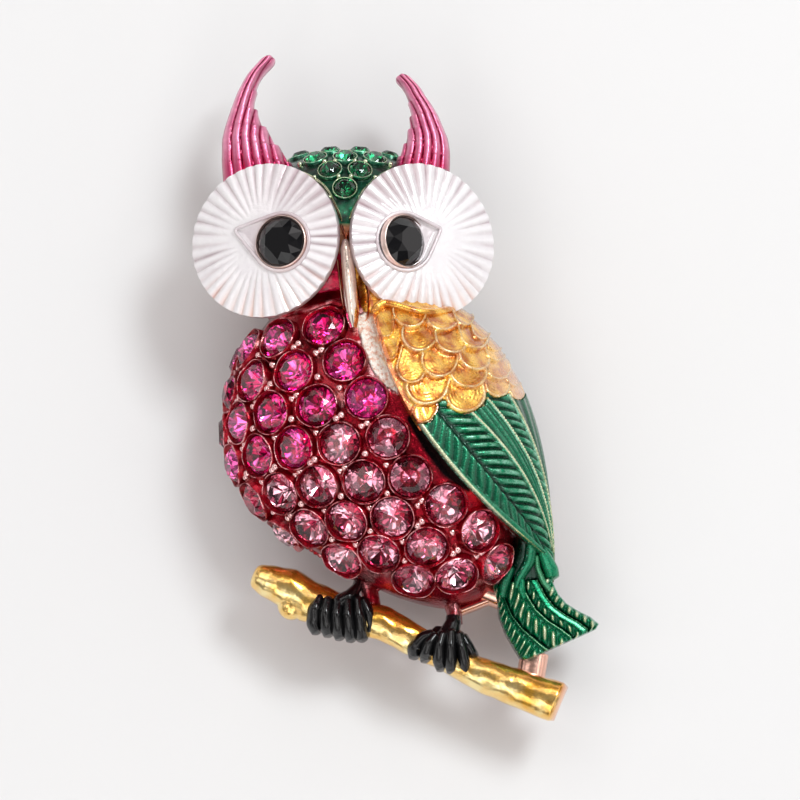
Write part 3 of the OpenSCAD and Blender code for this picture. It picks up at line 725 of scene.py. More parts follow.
# picture height of the smooth ground's lower end, below which the sheet dips under the feathers
GROUND_END = [
    # X, picture height
    (3.5, -3.4), (3.6, -1.7), (5.3, -1.7), (5.4, -2.5), (8.5, -2.5), (8.6, -1.2),
]


def lapped(x, up):
    """Height of the lapping scales over a place of the picture, and how bare they are there."""
    height = np.where(up > np.interp(x, *zip(*GROUND_END)), 0.05, -0.9)
    bare = np.zeros(x.shape)
    for at, low, half, length, turn in SCALES:
        a = math.radians(turn)
        across = ((x - at) * math.cos(a) + (up - low) * math.sin(a)) / half
        along = ((up - low) * math.cos(a) - (x - at) * math.sin(a)) / half
        wobble = 0.05 * np.sin(2.2 * across + 1.6 * along + 3 * at)
        r = np.hypot(across, np.maximum(0, 1 - along)) * (1 + wobble)
        inside = (r < 1) & (along < length / half)
        lip = np.exp(-((r - 0.88) / 0.07) ** 2)
        ripple = np.cos(2 * np.pi * r / 0.16) * np.clip((r - 0.2) / 0.2, 0, 1) * (r < 0.8)
        own = (0.16 + 0.26 * np.maximum(0, 1 - along * half / length) - 0.10 * (1 - r ** 2)
               + 0.26 * lip + 0.012 * ripple + 0.05 * np.sin(4 * across + 3 * along + 5 * at))
        height = np.where(inside, own, height)
        bare = np.where(inside, 0.15 + 0.85 * lip + 0.08 * ripple, bare)
    return height, bare


scale_u, scale_v = np.meshgrid(np.linspace(0, 1, 225), np.linspace(0, 1, 200), indexing="ij")
scale_u = -13.2 + (15.9 + 1.8 * scale_v) * scale_u
scale_ground = wing(scale_u, scale_v)
scale_out = skin_normals(scale_ground)
scale_high, scale_bare_and_shade = lapped(scale_ground[..., 0], picture_up(scale_ground))
# the relief runs out over the wing's upright flank
flank = np.clip((scale_out[..., 0] - 0.5) / 0.35, 0, 1)
scale_high = np.where(scale_high > 0, scale_high * (1 - 0.6 * flank), scale_high)
scale_top = scale_ground + scale_high[..., None] * scale_out
scale_top[..., 2] = np.minimum(scale_top[..., 2], 19.05)
# painted shade: -1 marks the wing's inner edge beside the slot, where the enamel is darkened
scale_bare_and_shade = np.where(scale_v < 0.025, -1.0, scale_bare_and_shade)


def honey_enamel(name, deep, pale):
    finish = Finish(name, Metallic=0.8, Coat_Weight=1.0, Coat_Roughness=0.05)
    x, _, _, vector = finish.places()
    pool = finish.noise(vector, 0.7).between(0.38, 0.62)
    enamel = finish.mix(pool, deep, pale)
    enamel = finish.mix(x.between(7.5, 12.5) * 0.6, enamel, (0.90, 0.56, 0.36))
    lip = finish.mix(finish.noise(vector, 1.5), (0.84, 0.48, 0.12), (1.0, 0.88, 0.60))
    crest = finish.carried("crest")
    # painted shade: darker red-orange where the crest is below zero
    edge = finish.mix(crest.between(-0.2, -0.8), enamel, (0.80, 0.28, 0.10))
    bare = crest.between(0.40, 0.90) * finish.noise(vector, 0.9).between(0.30, 0.55)
    finish.set(Base_Color=finish.mix(bare, edge, lip),
               Roughness=0.18 + 0.20 * finish.noise(vector, 2.2))
    finish.bump(finish.noise(vector, 1.6) + 0.5 * finish.noise(vector, 5.0), 0.08)
    return finish.material


honey = honey_enamel("honey_enamel", (0.52, 0.14, 0.004), (0.98, 0.56, 0.09))
make_piece("wing_scales", slab(scale_top, scale_ground - 1.1 * scale_out), honey,
           crest=scale_bare_and_shade, crease=75)
COLLAR = [
    # X and picture height of the rolled edge above the scales
    (-2.6, 6.4), (-1.9, 7.1), (-1.1, 7.5), (0.2, 7.2), (1.9, 6.6), (3.5, 6.5), (5.3, 6.9), (6.4, 7.4),
]
collar_track = []
for x, up in COLLAR:
    at = seen_at(wing_cloud, x, up)
    collar_track.append((*(wing_cloud[at] + 0.2 * wing_out[at]), 0.42, 0.55))
make_piece("wing_collar", limb(collar_track, 20, 60), honey, crest=0.2)

# Wing feathers
# Overlapping vanes cast in relief below the scales, in five strips, and flooded with emerald
# enamel, which runs off the veins and rib tops and pools dark between them.
FEATHER_STRIPS = [
    # left edge at the start, at the tip, right edge at the start, at the tip, ribs' kind, height
    (0.00, 0.00, 0.11, 0.26, "barbs", 0.38),
    (0.11, 0.26, 0.21, 0.66, "ribs", 0.55),
    (0.21, 0.66, 0.36, 0.80, "strands", 0.42),
    (0.36, 0.80, 0.55, 0.88, "ribs", 0.50),
    (0.55, 0.88, 1.00, 1.00, "strands", 0.28),
]


def relief(kind, down, across):
    """Height of a vane's relief, 0 to 1: down in millimetres along it, across from 0 to 1."""
    if kind == "ribs":
        wave = np.cos(2 * np.pi * (down / 1.0 - 1.25 * across + 0.12 * np.sin(down)))
        body = np.sqrt(np.clip(0.5 + 0.5 * wave, 0, 1))
        return 0.08 + 0.92 * body * np.sin(np.pi * np.clip(across, 0.02, 0.98)) ** 0.5
    if kind == "barbs":
        wave = np.cos(2 * np.pi * (down / 1.1 + 2.6 * across + 0.10 * np.sin(1.7 * down)))
        return 0.15 + 0.35 * across + 0.5 * np.sqrt(0.5 + 0.5 * wave)
    wave = np.cos(2 * np.pi * (4.0 * across + 0.13 * down))
    return 0.15 + 0.45 * np.sin(np.pi * across) + 0.4 * (0.5 + 0.5 * wave)


U, V = np.meshgrid(np.linspace(0.02 * WING_DOWN, 0.965 * WING_DOWN, 260),
                   np.linspace(-0.01, 1.0, 170), indexing="ij")
S = U / WING_DOWN
height = np.zeros_like(U)
vein = np.zeros_like(U)
for left0, left1, right0, right1, kind, tall in FEATHER_STRIPS:
    left, right = left0 + (left1 - left0) * S, right0 + (right1 - right0) * S
    across = (V - left) / (right - left)
    here = (across >= 0) & (across <= 1)
    pattern = relief(kind, U, np.clip(across, 0, 1))
    height = np.where(here, tall * pattern, height)
for at0, at1, wide in ((0.21, 0.66, 0.011), (0.55, 0.88, 0.011), (0.36, 0.80, 0.007)):
    line = np.exp(-((V - at0 - (at1 - at0) * S) / wide) ** 2)
    vein = np.maximum(vein, line)
groove = np.exp(-((V - 0.11 - 0.15 * S) / 0.012) ** 2)
height = np.maximum(height * (1 - vein), 0.5 * vein) * (1 - 0.9 * groove)
# a smooth lip along the wing's inner edge, bare at its very brink
lip_wide = 0.012 + 0.11 * S ** 3
lip = np.sqrt(np.clip(1 - ((V - lip_wide) / lip_wide) ** 2, 0, 1))
height = np.where(V < 2 * lip_wide, np.maximum(0.42 * lip, height * (V > lip_wide)), height)
vein = np.maximum(vein, np.clip((0.026 - V) / 0.010, 0, 1))
plain = wing(U, np.clip(V, 0, 1))
covered = lapped(plain[..., 0], picture_up(plain))[0] > -0.5
height = np.where(covered, -0.45, height)
feather_out = skin_normals(wing(U, V))
feather_top = plain + (0.05 + height)[..., None] * feather_out


def emerald_enamel():
    """Crest: 0 deep pools to 1 thin enamel on the ribs, bare pale gold from 1.2 up."""
    finish = Finish("emerald_enamel", Metallic=0.75, Coat_Weight=0.5, Coat_Roughness=0.05)
    _, y, _, vector = finish.places()
    crest = finish.carried("crest")
    pooled = finish.mix(finish.noise(vector, 0.9), (0.0, 0.006, 0.004), (0.0, 0.05, 0.025))
    thin = finish.mix(finish.noise(vector, 2.6), (0.0, 0.15, 0.06), (0.004, 0.36, 0.17))
    # painted sheen: paler rib tops of the upper wing
    wear_and_sheen = crest.between(0.55, 0.95) * (y + 17).between(0, 8)
    wear_and_sheen = wear_and_sheen * finish.noise(vector, 1.6).between(0.35, 0.65)
    thin = finish.mix(wear_and_sheen * 0.7, thin, (0.42, 0.80, 0.62))
    enamel = finish.mix(crest.between(0.15, 0.85), pooled, thin)
    vein_gold = finish.mix(finish.noise(vector, 1.2), (0.34, 0.42, 0.20), (0.80, 0.80, 0.58))
    finish.set(Base_Color=finish.mix(crest.between(1.1, 1.6), enamel, vein_gold),
               Roughness=0.16 + 0.22 * finish.noise(vector, 3.0))
    finish.bump(finish.noise(vector, 5.0), 0.04)
    return finish.material


emerald = emerald_enamel()
shade = np.clip(height / 0.55, 0, 1) + vein
make_piece("wing_feathers", slab(feather_top, plain - 0.25 * feather_out), emerald,
           crest=[shade, shade], crease=80)

# Head
# The casting's second hollow dome, behind the eye discs: emerald enamel over its crown, crimson and
# honey enamel below, meeting at the beak.
HEAD_AT = np.array([-5.0, 14.6])
HEAD_W, HEAD_UP, HEAD_H = 9.4, 9.4, 9.6
CAP_D, CAP_PITCH = 2.2, 2.9
CAP_WELL_R, CAP_WELL_DEPTH = 1.12, 0.85


def head(s, t, inset=0.0):
    """The head's skin: s climbs from its middle to its top, t turns from ridge to side."""
    c = np.maximum(1e-6, np.cos(np.radians(s)))
    x = HEAD_AT[0] + (HEAD_W - inset) * c ** 0.55 * np.sin(np.radians(t))
    y = HEAD_AT[1] + (HEAD_UP - inset) * np.sin(np.radians(s))
    z = BACK + (HEAD_H - inset) * c ** 0.7 * np.maximum(0, np.cos(np.radians(t)))
    return np.stack([x + 0 * z, y + 0 * z, z], axis=-1)


def crown_place(row, column, shift=0.0):
    """A place in the crown's staggered rows and the way out of it; shift is a share of its width."""
    s = 27 + row * CAP_PITCH * 0.87 / HEAD_UP * 180 / math.pi
    across = column * CAP_PITCH / (HEAD_W * math.cos(math.radians(s)) ** 0.55)
    t = math.degrees(math.asin(np.clip(across + shift, -0.97, 0.97)))
    e = 0.01
    out = unit(np.cross(head(s, t + e) - head(s, t - e), head(s + e, t) - head(s - e, t)))
    return head(s, t), out


cap_stones = []
for row in range(4):
    for j in range(row + 1):
        at, out = crown_place(row, j - row / 2)
        cap_stones.append((at + 0.2 * out, out))
S, T = np.meshgrid(np.linspace(-75, 89.8, 190), np.linspace(-90, 90, 170), indexing="ij")
plain_skull = head(S, T)
skull = plain_skull.copy()
sink_wells(skull, cap_stones, CAP_WELL_R, CAP_WELL_DEPTH)


def head_enamel():
    finish = Finish("head_enamel", Metallic=0.75, Coat_Weight=0.5, Coat_Roughness=0.03,
                    Specular_IOR_Level=0.2)
    x, y, _, vector = finish.places()
    cloud = finish.noise(vector, 0.8)
    green = finish.mix(cloud.between(0.35, 0.65), (0.0, 0.006, 0.004), (0.0, 0.13, 0.055))
    green = finish.mix((y - 16.5).between(0, 1.5) * 0.6, green, (0.0, 0.020, 0.012))
    red = finish.mix(cloud, (0.26, 0.0, 0.02), (0.66, 0.008, 0.06))
    amber = finish.mix(cloud, (0.62, 0.20, 0.01), (0.86, 0.48, 0.08))
    low = finish.mix((x + 0.09 * (y - 14) + 4.9).between(-0.15, 0.15), red, amber)
    copper = finish.mix((y - 12.2).between(0, 0.4), low, (0.72, 0.34, 0.20))
    finish.set(Base_Color=finish.mix((y - 14.8).between(0, 0.5), copper, green),
               Roughness=0.2 + 0.2 * finish.noise(vector, 3.0))
    finish.bump(finish.noise(vector, 1.3), 0.16)
    return finish.material


make_piece("head_dome", slab(skull, head(S, T, SHELL)), head_enamel())
CAP_CUP_PROFILE = [
    # half width, height above the girdle, bareness
    (1.12, -0.50, 0.0), (1.12, 0.02, 0.0), (1.15, 0.10, 1.5), (1.21, 0.11, 1.5), (1.27, 0.02, 0.45),
    (1.32, -0.50, 0.0),
]
make_cups("crown_cups", CAP_CUP_PROFILE, cap_stones, 32, emerald)
cap_beads = []
for row in range(4):
    for j in range(row + 2):
        # two beads between neighbours, one at each end of a row
        for shift in (-0.07, 0.07) if 0 < j < row + 1 else (0.0,):
            at, out = crown_place(row - 0.42, j - (row + 1) / 2, shift)
            cap_beads.append(bead(at + 0.15 * out, out, 0.27, 0.34, 10, 5))
make_piece("crown_beads", join(cap_beads),
           bead_metal("crown_bead_metal", (0.80, 0.78, 0.58), (0.45, 0.62, 0.38)))

CAP_EDGES = [
    # rows of X and picture height of the crown's border beside each disc
    [(-9.6, 20.7), (-8.4, 20.2), (-7.2, 19.4), (-6.4, 18.3), (-5.8, 17.0), (-5.2, 15.6)],
    [(-0.1, 20.9), (-1.2, 20.4), (-2.3, 19.6), (-3.2, 18.6), (-3.9, 17.4), (-4.5, 15.7)],
]
edges = [limb([(*plain_skull[seen_at(plain_skull, x, up)], 0.17, 0.45) for x, up in border], 12, 40)
         for border in CAP_EDGES]
make_piece("crown_edges", join(edges),
           bead_metal("crown_edge_metal", (0.85, 0.82, 0.60), (0.60, 0.66, 0.40)))

# Crown stones
# Ten small emerald brilliants, foiled and glued like the belly's.
emerald_glass = cut_glass("emerald_glass", (0.25, 0.85, 0.55))
emerald_foil = foil("emerald_foil", (0.0, 0.03, 0.02), (0.0, 0.22, 0.12), (0.25, 0.75, 0.50))
crown_solids = [brilliant(c, n, CAP_D / 2, 0.5, 0.75, 13 * k) for k, (c, n) in enumerate(cap_stones)]
crown_piece = make_piece("crown_chatons", join(crown_solids), [emerald_glass, emerald_foil],
                         crease=FLAT, slot="emerald_stone", stands_for="crown_stones")
back_with_foil(crown_piece.data, cap_stones, 0.01, lambda k: 0.5 + 0.5 * math.sin(7.7 * k))

# Eye discs
# Two dished discs, fluted like shells and coated in pearl-white lacquer, each on a stem from the
# head.
DISC_AT = [np.array([-12.8, 13.75]), np.array([2.65, 13.75])]
DISC_D, DISC_T, DISC_RISE, DISC_Z = 15.3, 1.1, 0.8, 13.6
DISC_TURN = [-21.0, 25.0]
FLUTES, FLUTE_H = 40, 0.34
EYES = [
    # stone side, stone up, corner side, corner up, as shares of the radius; turn in degrees
    (0.26, -0.06, -0.33, 0.13, 0),
    (-0.30, -0.06, 0.16, 0.13, -14),
]


def on_disc(i, points):
    """Points of disc i's own place, in the owl's."""
    points = np.asarray(points, float)
    a = math.radians(DISC_TURN[i])
    x = points[..., 0] * math.cos(a) + points[..., 2] * math.sin(a)
    z = points[..., 2] * math.cos(a) - points[..., 0] * math.sin(a)
    return np.stack([x + DISC_AT[i][0], points[..., 1] + DISC_AT[i][1], z + DISC_Z], axis=-1)


def disc_height(i, r, a):
    """Height of the fluted face, and how deep in a groove a place is (1 in its floor)."""
    drift = 0.5 * np.sin(3 * a + 1 + 2 * i) + 0.35 * np.sin(7 * a + 4 * i)
    uneven = 0.78 + 0.22 * np.sin(11 * a + 2 + i)
    groove = (1 - np.abs(np.sin(FLUTES / 2 * a + drift))) ** 1.3
    fluted = np.clip((r - 0.40 - 0.06 * np.sin(5 * a + i)) / 0.45, 0, 1) * uneven
    high = DISC_RISE * (1 - r * r) + FLUTE_H * fluted * (0.5 - 1.0 * groove)
    # the almond round the eye is sunk a little
    x, y = r * np.cos(a), r * np.sin(a)
    off = np.full(r.shape, 9.0)
    for share_out in np.linspace(0, 1, 24):
        ex = EYES[i][0] + (EYES[i][2] - EYES[i][0]) * share_out
        ey = EYES[i][1] + (EYES[i][3] - EYES[i][1]) * share_out
        off = np.minimum(off, np.hypot(x - ex, y - ey) - 0.375 + 0.345 * share_out)
    inside = np.clip(-off / 0.05, 0, 1)
    return high - 0.30 * inside, np.maximum(groove * fluted, 0.42 * inside)


def pearl_lacquer():
    finish = Finish("pearl_lacquer", Metallic=0.12, Coat_Weight=1.0, Coat_Roughness=0.08)
    x, y, _, vector = finish.places()
    crest = finish.carried("crest")
    cloud = finish.noise(vector, 0.6)
    pearl = finish.mix(cloud, (0.76, 0.72, 0.75), (0.88, 0.87, 0.87))
    # painted shade: darker mauve over the flutes beside the crown
    inner = (y - 13.5).between(0, 5) * ((x + 5) * (x + 5)).between(110, 30)
    pearl = finish.mix(inner * (crest * 0.5 + 0.3), pearl, (0.46, 0.33, 0.35))
    # painted shade: lilac, turning peach lower down, in the groove floors and the sunk almond; the brim
    # takes the same colour
    lilac = finish.mix(cloud, (0.36, 0.25, 0.28), (0.54, 0.41, 0.44))
    peach = finish.mix((y - 11.5).between(0.0, -4.0), lilac, (0.80, 0.50, 0.40))
    deep = crest.between(0.02, 0.80) * finish.noise(vector, 0.16).between(0.30, 0.62)
    finish.set(Base_Color=finish.mix(deep * 0.8 + crest * 0.2, pearl, peach),
               Roughness=0.28 + 0.14 * finish.noise(vector, 1.6))
    finish.bump(finish.noise(vector, 1.8), 0.08)
    return finish.material


pearl = pearl_lacquer()
for i, hand in enumerate(("left", "right")):
    # rings of the face from its brim inwards
    R, A = np.meshgrid(np.linspace(0.0, 1.0, 56)[:0:-1], turns(8 * FLUTES), indexing="ij")
    high, groove = disc_height(i, R, A)
    face = np.stack([DISC_D / 2 * R * np.cos(A), DISC_D / 2 * R * np.sin(A), high], axis=-1)
    brim = face[0].copy()
    brim[:, 2] = -0.55 * DISC_T
    low = 0.965 * face[0]
    low[:, 2] = -DISC_T
    shade = np.concatenate([np.full((2, 8 * FLUTES), 0.9), groove])
    make_piece("eye_disc_" + hand, loft([on_disc(i, ring) for ring in (low, brim, *face)]), pearl,
               crest=shade, crease=50)
    # the stem that carries the disc, soldered to the skull
    a = turns(24)
    flat = np.stack([np.cos(a), np.sin(a), 0 * a], axis=1)
    low_at = np.array([0.5 * (DISC_AT[i][0] + HEAD_AT[0]), HEAD_AT[1] - 1, BACK + 5])
    head_end = low_at + 0.175 * DISC_D * flat
    disc_end = on_disc(i, 0.275 * DISC_D * flat + [0.2 * EYES[i][0] * DISC_D, 0, -DISC_T + 0.1])
    stem = [head_end + (disc_end - head_end) * s ** 1.3 for s in np.linspace(0, 1, 7)]
    make_piece("eye_stem_" + hand, loft(stem), rose_plate)

# Eye rims and eye stones
# A raised almond outline cast on each disc, its pointed corner outward, and a black cut glass
# stone glued in its round end.
EYE_D, RIM_R = 4.9, 0.19


def tube(path, radius, up):
    """A round wire along a closed path that lies across the direction up."""
    around = 12
    way = unit(np.roll(path, -1, axis=0) - np.roll(path, 1, axis=0))
    side = unit(np.cross(way, up))
    a = turns(around)[None, :, None]
    rings = path[:, None] + radius * np.cos(a) * side[:, None] + radius * np.sin(a) * up
    return rings.reshape(-1, 3), ring_faces(len(path), around, True)


def almond(i, stone_r, corner_r):
    """The outline that wraps the stone's circle and the corner's, evenly stepped."""
    centre = DISC_D / 2 * np.array(EYES[i][:2])
    corner = DISC_D / 2 * np.array(EYES[i][2:4])
    reach = np.linalg.norm(corner - centre)
    toward = math.atan2(*(corner - centre)[::-1])
    open_a = math.acos((stone_r - corner_r) / reach)
    big = np.linspace(toward + open_a, toward + 2 * np.pi - open_a, 80)
    small = np.linspace(toward - open_a, toward + open_a, 12)
    line = np.concatenate([centre + stone_r * np.stack([np.cos(big), np.sin(big)], axis=1),
                           corner + corner_r * np.stack([np.cos(small), np.sin(small)], axis=1)])
    line = np.concatenate([line, line[:1]])
    run = np.concatenate([[0], np.cumsum(np.linalg.norm(np.diff(line, axis=0), axis=1))])
    even = np.linspace(0, run[-1], 120, endpoint=False)
    plan = np.stack([np.interp(even, run, line[:, k]) for k in range(2)], axis=1)
    r = np.linalg.norm(plan, axis=1) / (DISC_D / 2)
    return np.column_stack([plan, DISC_RISE * (1 - r * r)])


rim_metal = plated("rim_metal", (0.96, 0.80, 0.76), 0.28, 0.1)
black_glass = Finish("black_glass", Base_Color=(0.002, 0.002, 0.003), IOR=1.55,
                     Specular_IOR_Level=0.5)
sheen = black_glass.noise(black_glass.places()[3], 0.5)
black_glass.set(Roughness=0.02 + 0.05 * sheen)
for i, hand in enumerate(("left", "right")):
    line = almond(i, EYE_D / 2 + 0.42, 0.25)
    normal = on_disc(i, [0, 0, 1.0]) - on_disc(i, [0, 0, 0.0])
    lip = on_disc(i, line + [0, 0, 0.10])
    make_piece("eye_rim_" + hand, tube(lip, RIM_R, normal), pearl, crest=0.55)
    collar = [(EYE_D / 2 + 0.06 + w, h) for w, h in
              ((0, -0.5), (0, 0.10), (0.04, 0.15), (0.09, 0.14), (0.13, 0.06), (0.16, -0.5))]
    turn = math.radians(EYES[i][4])
    tilted = np.array([-math.sin(turn), 0, math.cos(turn)])
    seat = on_disc(i, [EYES[i][0] * DISC_D / 2, EYES[i][1] * DISC_D / 2, DISC_RISE])
    out = on_disc(i, tilted) - on_disc(i, [0, 0, 0])
    make_piece("eye_collar_" + hand, turned(collar, seat, out, 64), rim_metal, crease=60)
    make_piece("eye_gem_" + hand, brilliant(seat, out, EYE_D / 2, 1.05, 1.3, 20),
               black_glass.material, crease=FLAT, slot="black_stone", stands_for="eye_stone_" + hand)

# Beak
# A narrow polished spike between the discs, with a ridge down it and thin raised edges beside it.
BEAK_L, BEAK_W = 9.0, 1.7
BEAK_SECTION = [
    # side and height, as shares of the half width and of the depth
    (-1, 0), (-0.86, 0.34), (-0.3, 0.86), (-0.12, 0.96), (0.06, 0.98), (0.25, 0.86), (0.86, 0.34),
    (1, 0), (0.8, -0.7), (0, -1), (-0.8, -0.7),
]
beak_top = np.array([HEAD_AT[0] + 0.1, HEAD_AT[1] - 1.3])
beak_rings = []
for s in np.linspace(0, 1, 40):
    wide = BEAK_W / 2 * np.interp(s, [0, 0.1, 0.45, 0.85, 1], [0.45, 0.74, 0.86, 0.80, 0.52])
    deep = wide + 0.5
    x, y = beak_top[0] + 0.09 * BEAK_L * s, beak_top[1] - BEAK_L * s
    z = BACK + BELLY_H - 1.9 + 1.2 * s
    beak_rings.append([[x + wide * a, y, z + deep * b] for a, b in BEAK_SECTION])
make_piece("beak", loft(beak_rings), plated("beak_metal", (0.96, 0.88, 0.80), 0.05, 0.06),
           crease=28)

AMBER_NECK = [
    # rows of X, picture height and half width of the honey field beside the beak
    (-3.3, 11.2, 0.35), (-3.0, 10.2, 0.75), (-2.7, 9.0, 1.05), (-2.3, 7.8, 1.35), (-2.1, 6.4, 1.3),
]
amber_neck = [(*pictured(x, up, 14.6 - 0.35 * (up - 6)), wide, 1.2) for x, up, wide in AMBER_NECK]
make_piece("neck_amber", limb(amber_neck, 24, 40), honey, crest=0.1)
RAILS = [
    # rows of X and picture height of the thin edges beside the beak and above it
    [(-5.7, 12.0), (-5.5, 10.2), (-5.3, 8.6), (-5.0, 6.4)],
    [(-3.5, 10.9), (-2.9, 9.6), (-2.6, 8.2), (-2.7, 6.2), (-3.3, 4.9)],
    [(-5.4, 15.4), (-4.9, 14.0), (-4.4, 12.6), (-3.9, 11.6)],
    [(-4.3, 15.2), (-4.8, 13.9), (-5.3, 12.8)],
]
RAIL_Z = BACK + BELLY_H - 2.6
rails = [limb([(*pictured(x, up, RAIL_Z), 0.16, 0.9) for x, up in rail], 12) for rail in RAILS]
make_piece("beak_rails", join(rails), plated("copper_edge", (0.86, 0.46, 0.32), 0.12, 0.1))

# Ear tufts
# Two horns cast on the skull, with ribs that follow the outer edge and end one by one on the inner
# edge; satin pink lacquer over the plate.
TUFT_T, RIB_UP = 2.2, 0.36
LEFT_TUFT = [
    # height, left edge and right edge as shares of the tuft's height and width
    (0.00, 0.02, 1.02), (0.16, 0.00, 0.92), (0.25, 0.00, 0.80), (0.34, 0.00, 0.69),
    (0.44, 0.04, 0.57), (0.53, 0.09, 0.48), (0.63, 0.15, 0.44), (0.72, 0.21, 0.45),
    (0.81, 0.29, 0.51), (0.87, 0.35, 0.58), (0.92, 0.43, 0.67), (0.96, 0.49, 0.73),
    (1.00, 0.55, 0.72),
]
RIGHT_TUFT = [
    # height, left edge and right edge as shares of the tuft's height and width
    (0.00, 0.00, 1.00), (0.10, 0.02, 1.01), (0.22, 0.13, 1.01), (0.35, 0.22, 0.97),
    (0.47, 0.27, 0.88), (0.59, 0.29, 0.79), (0.71, 0.27, 0.66), (0.77, 0.23, 0.58),
    (0.84, 0.18, 0.51), (0.90, 0.10, 0.43), (0.95, 0.00, 0.34), (1.00, 0.03, 0.25),
]


def pink_lacquer():
    finish = Finish("pink_lacquer", Metallic=0.85, Coat_Weight=0.6, Coat_Roughness=0.15)
    _, y, _, vector = finish.places()
    crest = finish.carried("crest")
    cloud = finish.noise(vector, 1.2)
    pink = finish.mix(cloud, (0.60, 0.07, 0.22), (0.95, 0.40, 0.57))
    groove = finish.mix(cloud, (0.26, 0.003, 0.05), (0.42, 0.015, 0.11))
    body = finish.mix(crest.between(0.35, 0.9), groove, pink)
    foot = (y - 22.6).between(1.6, -0.6) * 0.85
    finish.set(Base_Color=finish.mix(foot, body, (0.48, 0.01, 0.10)),
               Roughness=0.26 + 0.18 * finish.noise(vector, 2.5))
    finish.bump(finish.noise(vector, 4.0), 0.05)
    return finish.material


def tuft(rows, foot, tall, width, outer_left, ribs):
    """A horn between two outlines; its ribs keep their distance from the outer edge."""
    rows = np.array(rows)
    share_y = np.linspace(0, 1, 130)
    left = np.interp(share_y, rows[:, 0], rows[:, 1])
    right = np.interp(share_y, rows[:, 0], rows[:, 2])
    for edge in (left, right):
        edge[4:-4] = np.convolve(np.pad(edge, 4, mode="edge"), np.ones(9) / 9, "valid")[4:-4]
    # the ribs end one by one, which steps the inner edge
    step = 0.05 * ((7 * share_y) % 1 - 0.5) * (share_y > 0.1) * (share_y < 0.72)
    inner = right if outer_left else left
    inner[2:-2] = (inner + (step if outer_left else -step))[2:-2]
    round_top = np.sqrt(np.clip((1.003 - share_y) / 0.03, 0, 1))
    middle, half = (left + right) / 2, (right - left) / 2 * np.minimum(1, round_top)
    across = np.linspace(-1, 1, 71)
    rings, crest = [], []
    for k, y in enumerate(share_y):
        x = middle[k] + half[k] * across
        from_outer = x - left[k] if outer_left else right[k] - x
        pitch = (1 - 0.45 * y) / ribs
        wave = np.abs(np.sin(np.pi * from_outer / pitch)) ** 0.5
        deep = TUFT_T * (1 - 0.45 * y)
        dome = np.maximum(0, 1 - across ** 2) ** 0.6 * min(1, 0.35 + round_top[k])
        z = BACK + 3.7 + deep * dome + RIB_UP * 1.5 * wave * (1 - 0.5 * y) * (np.abs(across) < 0.99)
        front = np.column_stack([foot[0] + width * x, np.full(len(x), foot[1] + tall * y), z])
        back = np.array([[front[-1, 0], front[-1, 1], BACK + 3.1],
                         [front[0, 0], front[0, 1], BACK + 3.1]])
        rings.append(np.concatenate([front, back]))
        crest.append(np.concatenate([wave, [0, 0]]))
    return loft(rings), np.concatenate(crest)


pink = pink_lacquer()
for hand, rows, foot, tall, width, outer_left, ribs in (
        ("left", LEFT_TUFT, (-17.2, 20.7), 12.7, 7.3, True, 6.6),
        ("right", RIGHT_TUFT, (-0.1, 21.7), 9.8, 5.4, False, 5.6)):
    solid, crest = tuft(rows, foot, tall, width, outer_left, ribs)
    make_piece("ear_tuft_" + hand, solid, pink, crest=crest, crease=70)

# Neck web
# A flat web cast across the hollow back between head and body; the pin bar is soldered to it.
WEB_H = 3.6
web_ends = [np.array([HEAD_AT[0], HEAD_AT[1] - 5.6]), np.array(spot(-0.75 * BELLY_UP, 0.0))]
a = turns(48)
circle = 5 * np.stack([np.cos(a), np.sin(a)], axis=1)
way = unit(web_ends[1] - web_ends[0])
outline = np.where((circle @ way > 0)[:, None], web_ends[1] + circle, web_ends[0] + circle)
web_rings = [np.column_stack([outline, np.full(len(a), z)])
             for z in (BACK, BACK + 0.2, BACK + WEB_H)]
make_piece("neck_web", loft(web_rings), rose_plate)

# Branch
# A solid cast twig, knotted and rough, with honey enamel over gold that thins on its lower half.
BRANCH_L, BRANCH_D, BRANCH_AT = 31.5, 3.3, np.array([1.1, -24.6])
SLOPE = math.radians(23)
BRANCH_WAY = np.array([math.cos(SLOPE), -math.sin(SLOPE)])
BRANCH_SIDE = np.array([math.sin(SLOPE), math.cos(SLOPE)])
BRANCH_Z = BACK + 0.55 * BRANCH_D
BRANCH_ROWS = [
    # along, offset to the side and half thickness, as shares of its length and thickness
    (0.00, 0.00, 0.40), (0.03, 0.00, 0.50), (0.10, 0.06, 0.60), (0.17, -0.08, 0.62),
    (0.28, 0.00, 0.54), (0.42, 0.14, 0.50), (0.58, 0.00, 0.47), (0.74, -0.12, 0.47),
    (0.88, -0.06, 0.58), (1.00, 0.00, 0.62),
]


def branch_spot(s, side):
    return BRANCH_AT + (s - 0.5) * BRANCH_L * BRANCH_WAY + side * BRANCH_SIDE


def rough(points, amount, scale):
    """A fixed sum of waves that stands for hand-worked unevenness."""
    x, y, z = points[..., 0] / scale, points[..., 1] / scale, points[..., 2] / scale
    return amount * (np.sin(2.1 * x + 1.3 * y + 0.5) * np.sin(1.7 * y - 2.3 * z + 1.1)
                     + 0.6 * np.sin(4.3 * x - 3.1 * y + 2.0) * np.sin(3.7 * z + 4.9 * y)
                     + 0.35 * np.sin(8.3 * x + 7.1 * y - 1.0) * np.sin(9.1 * z - 6.3 * x))


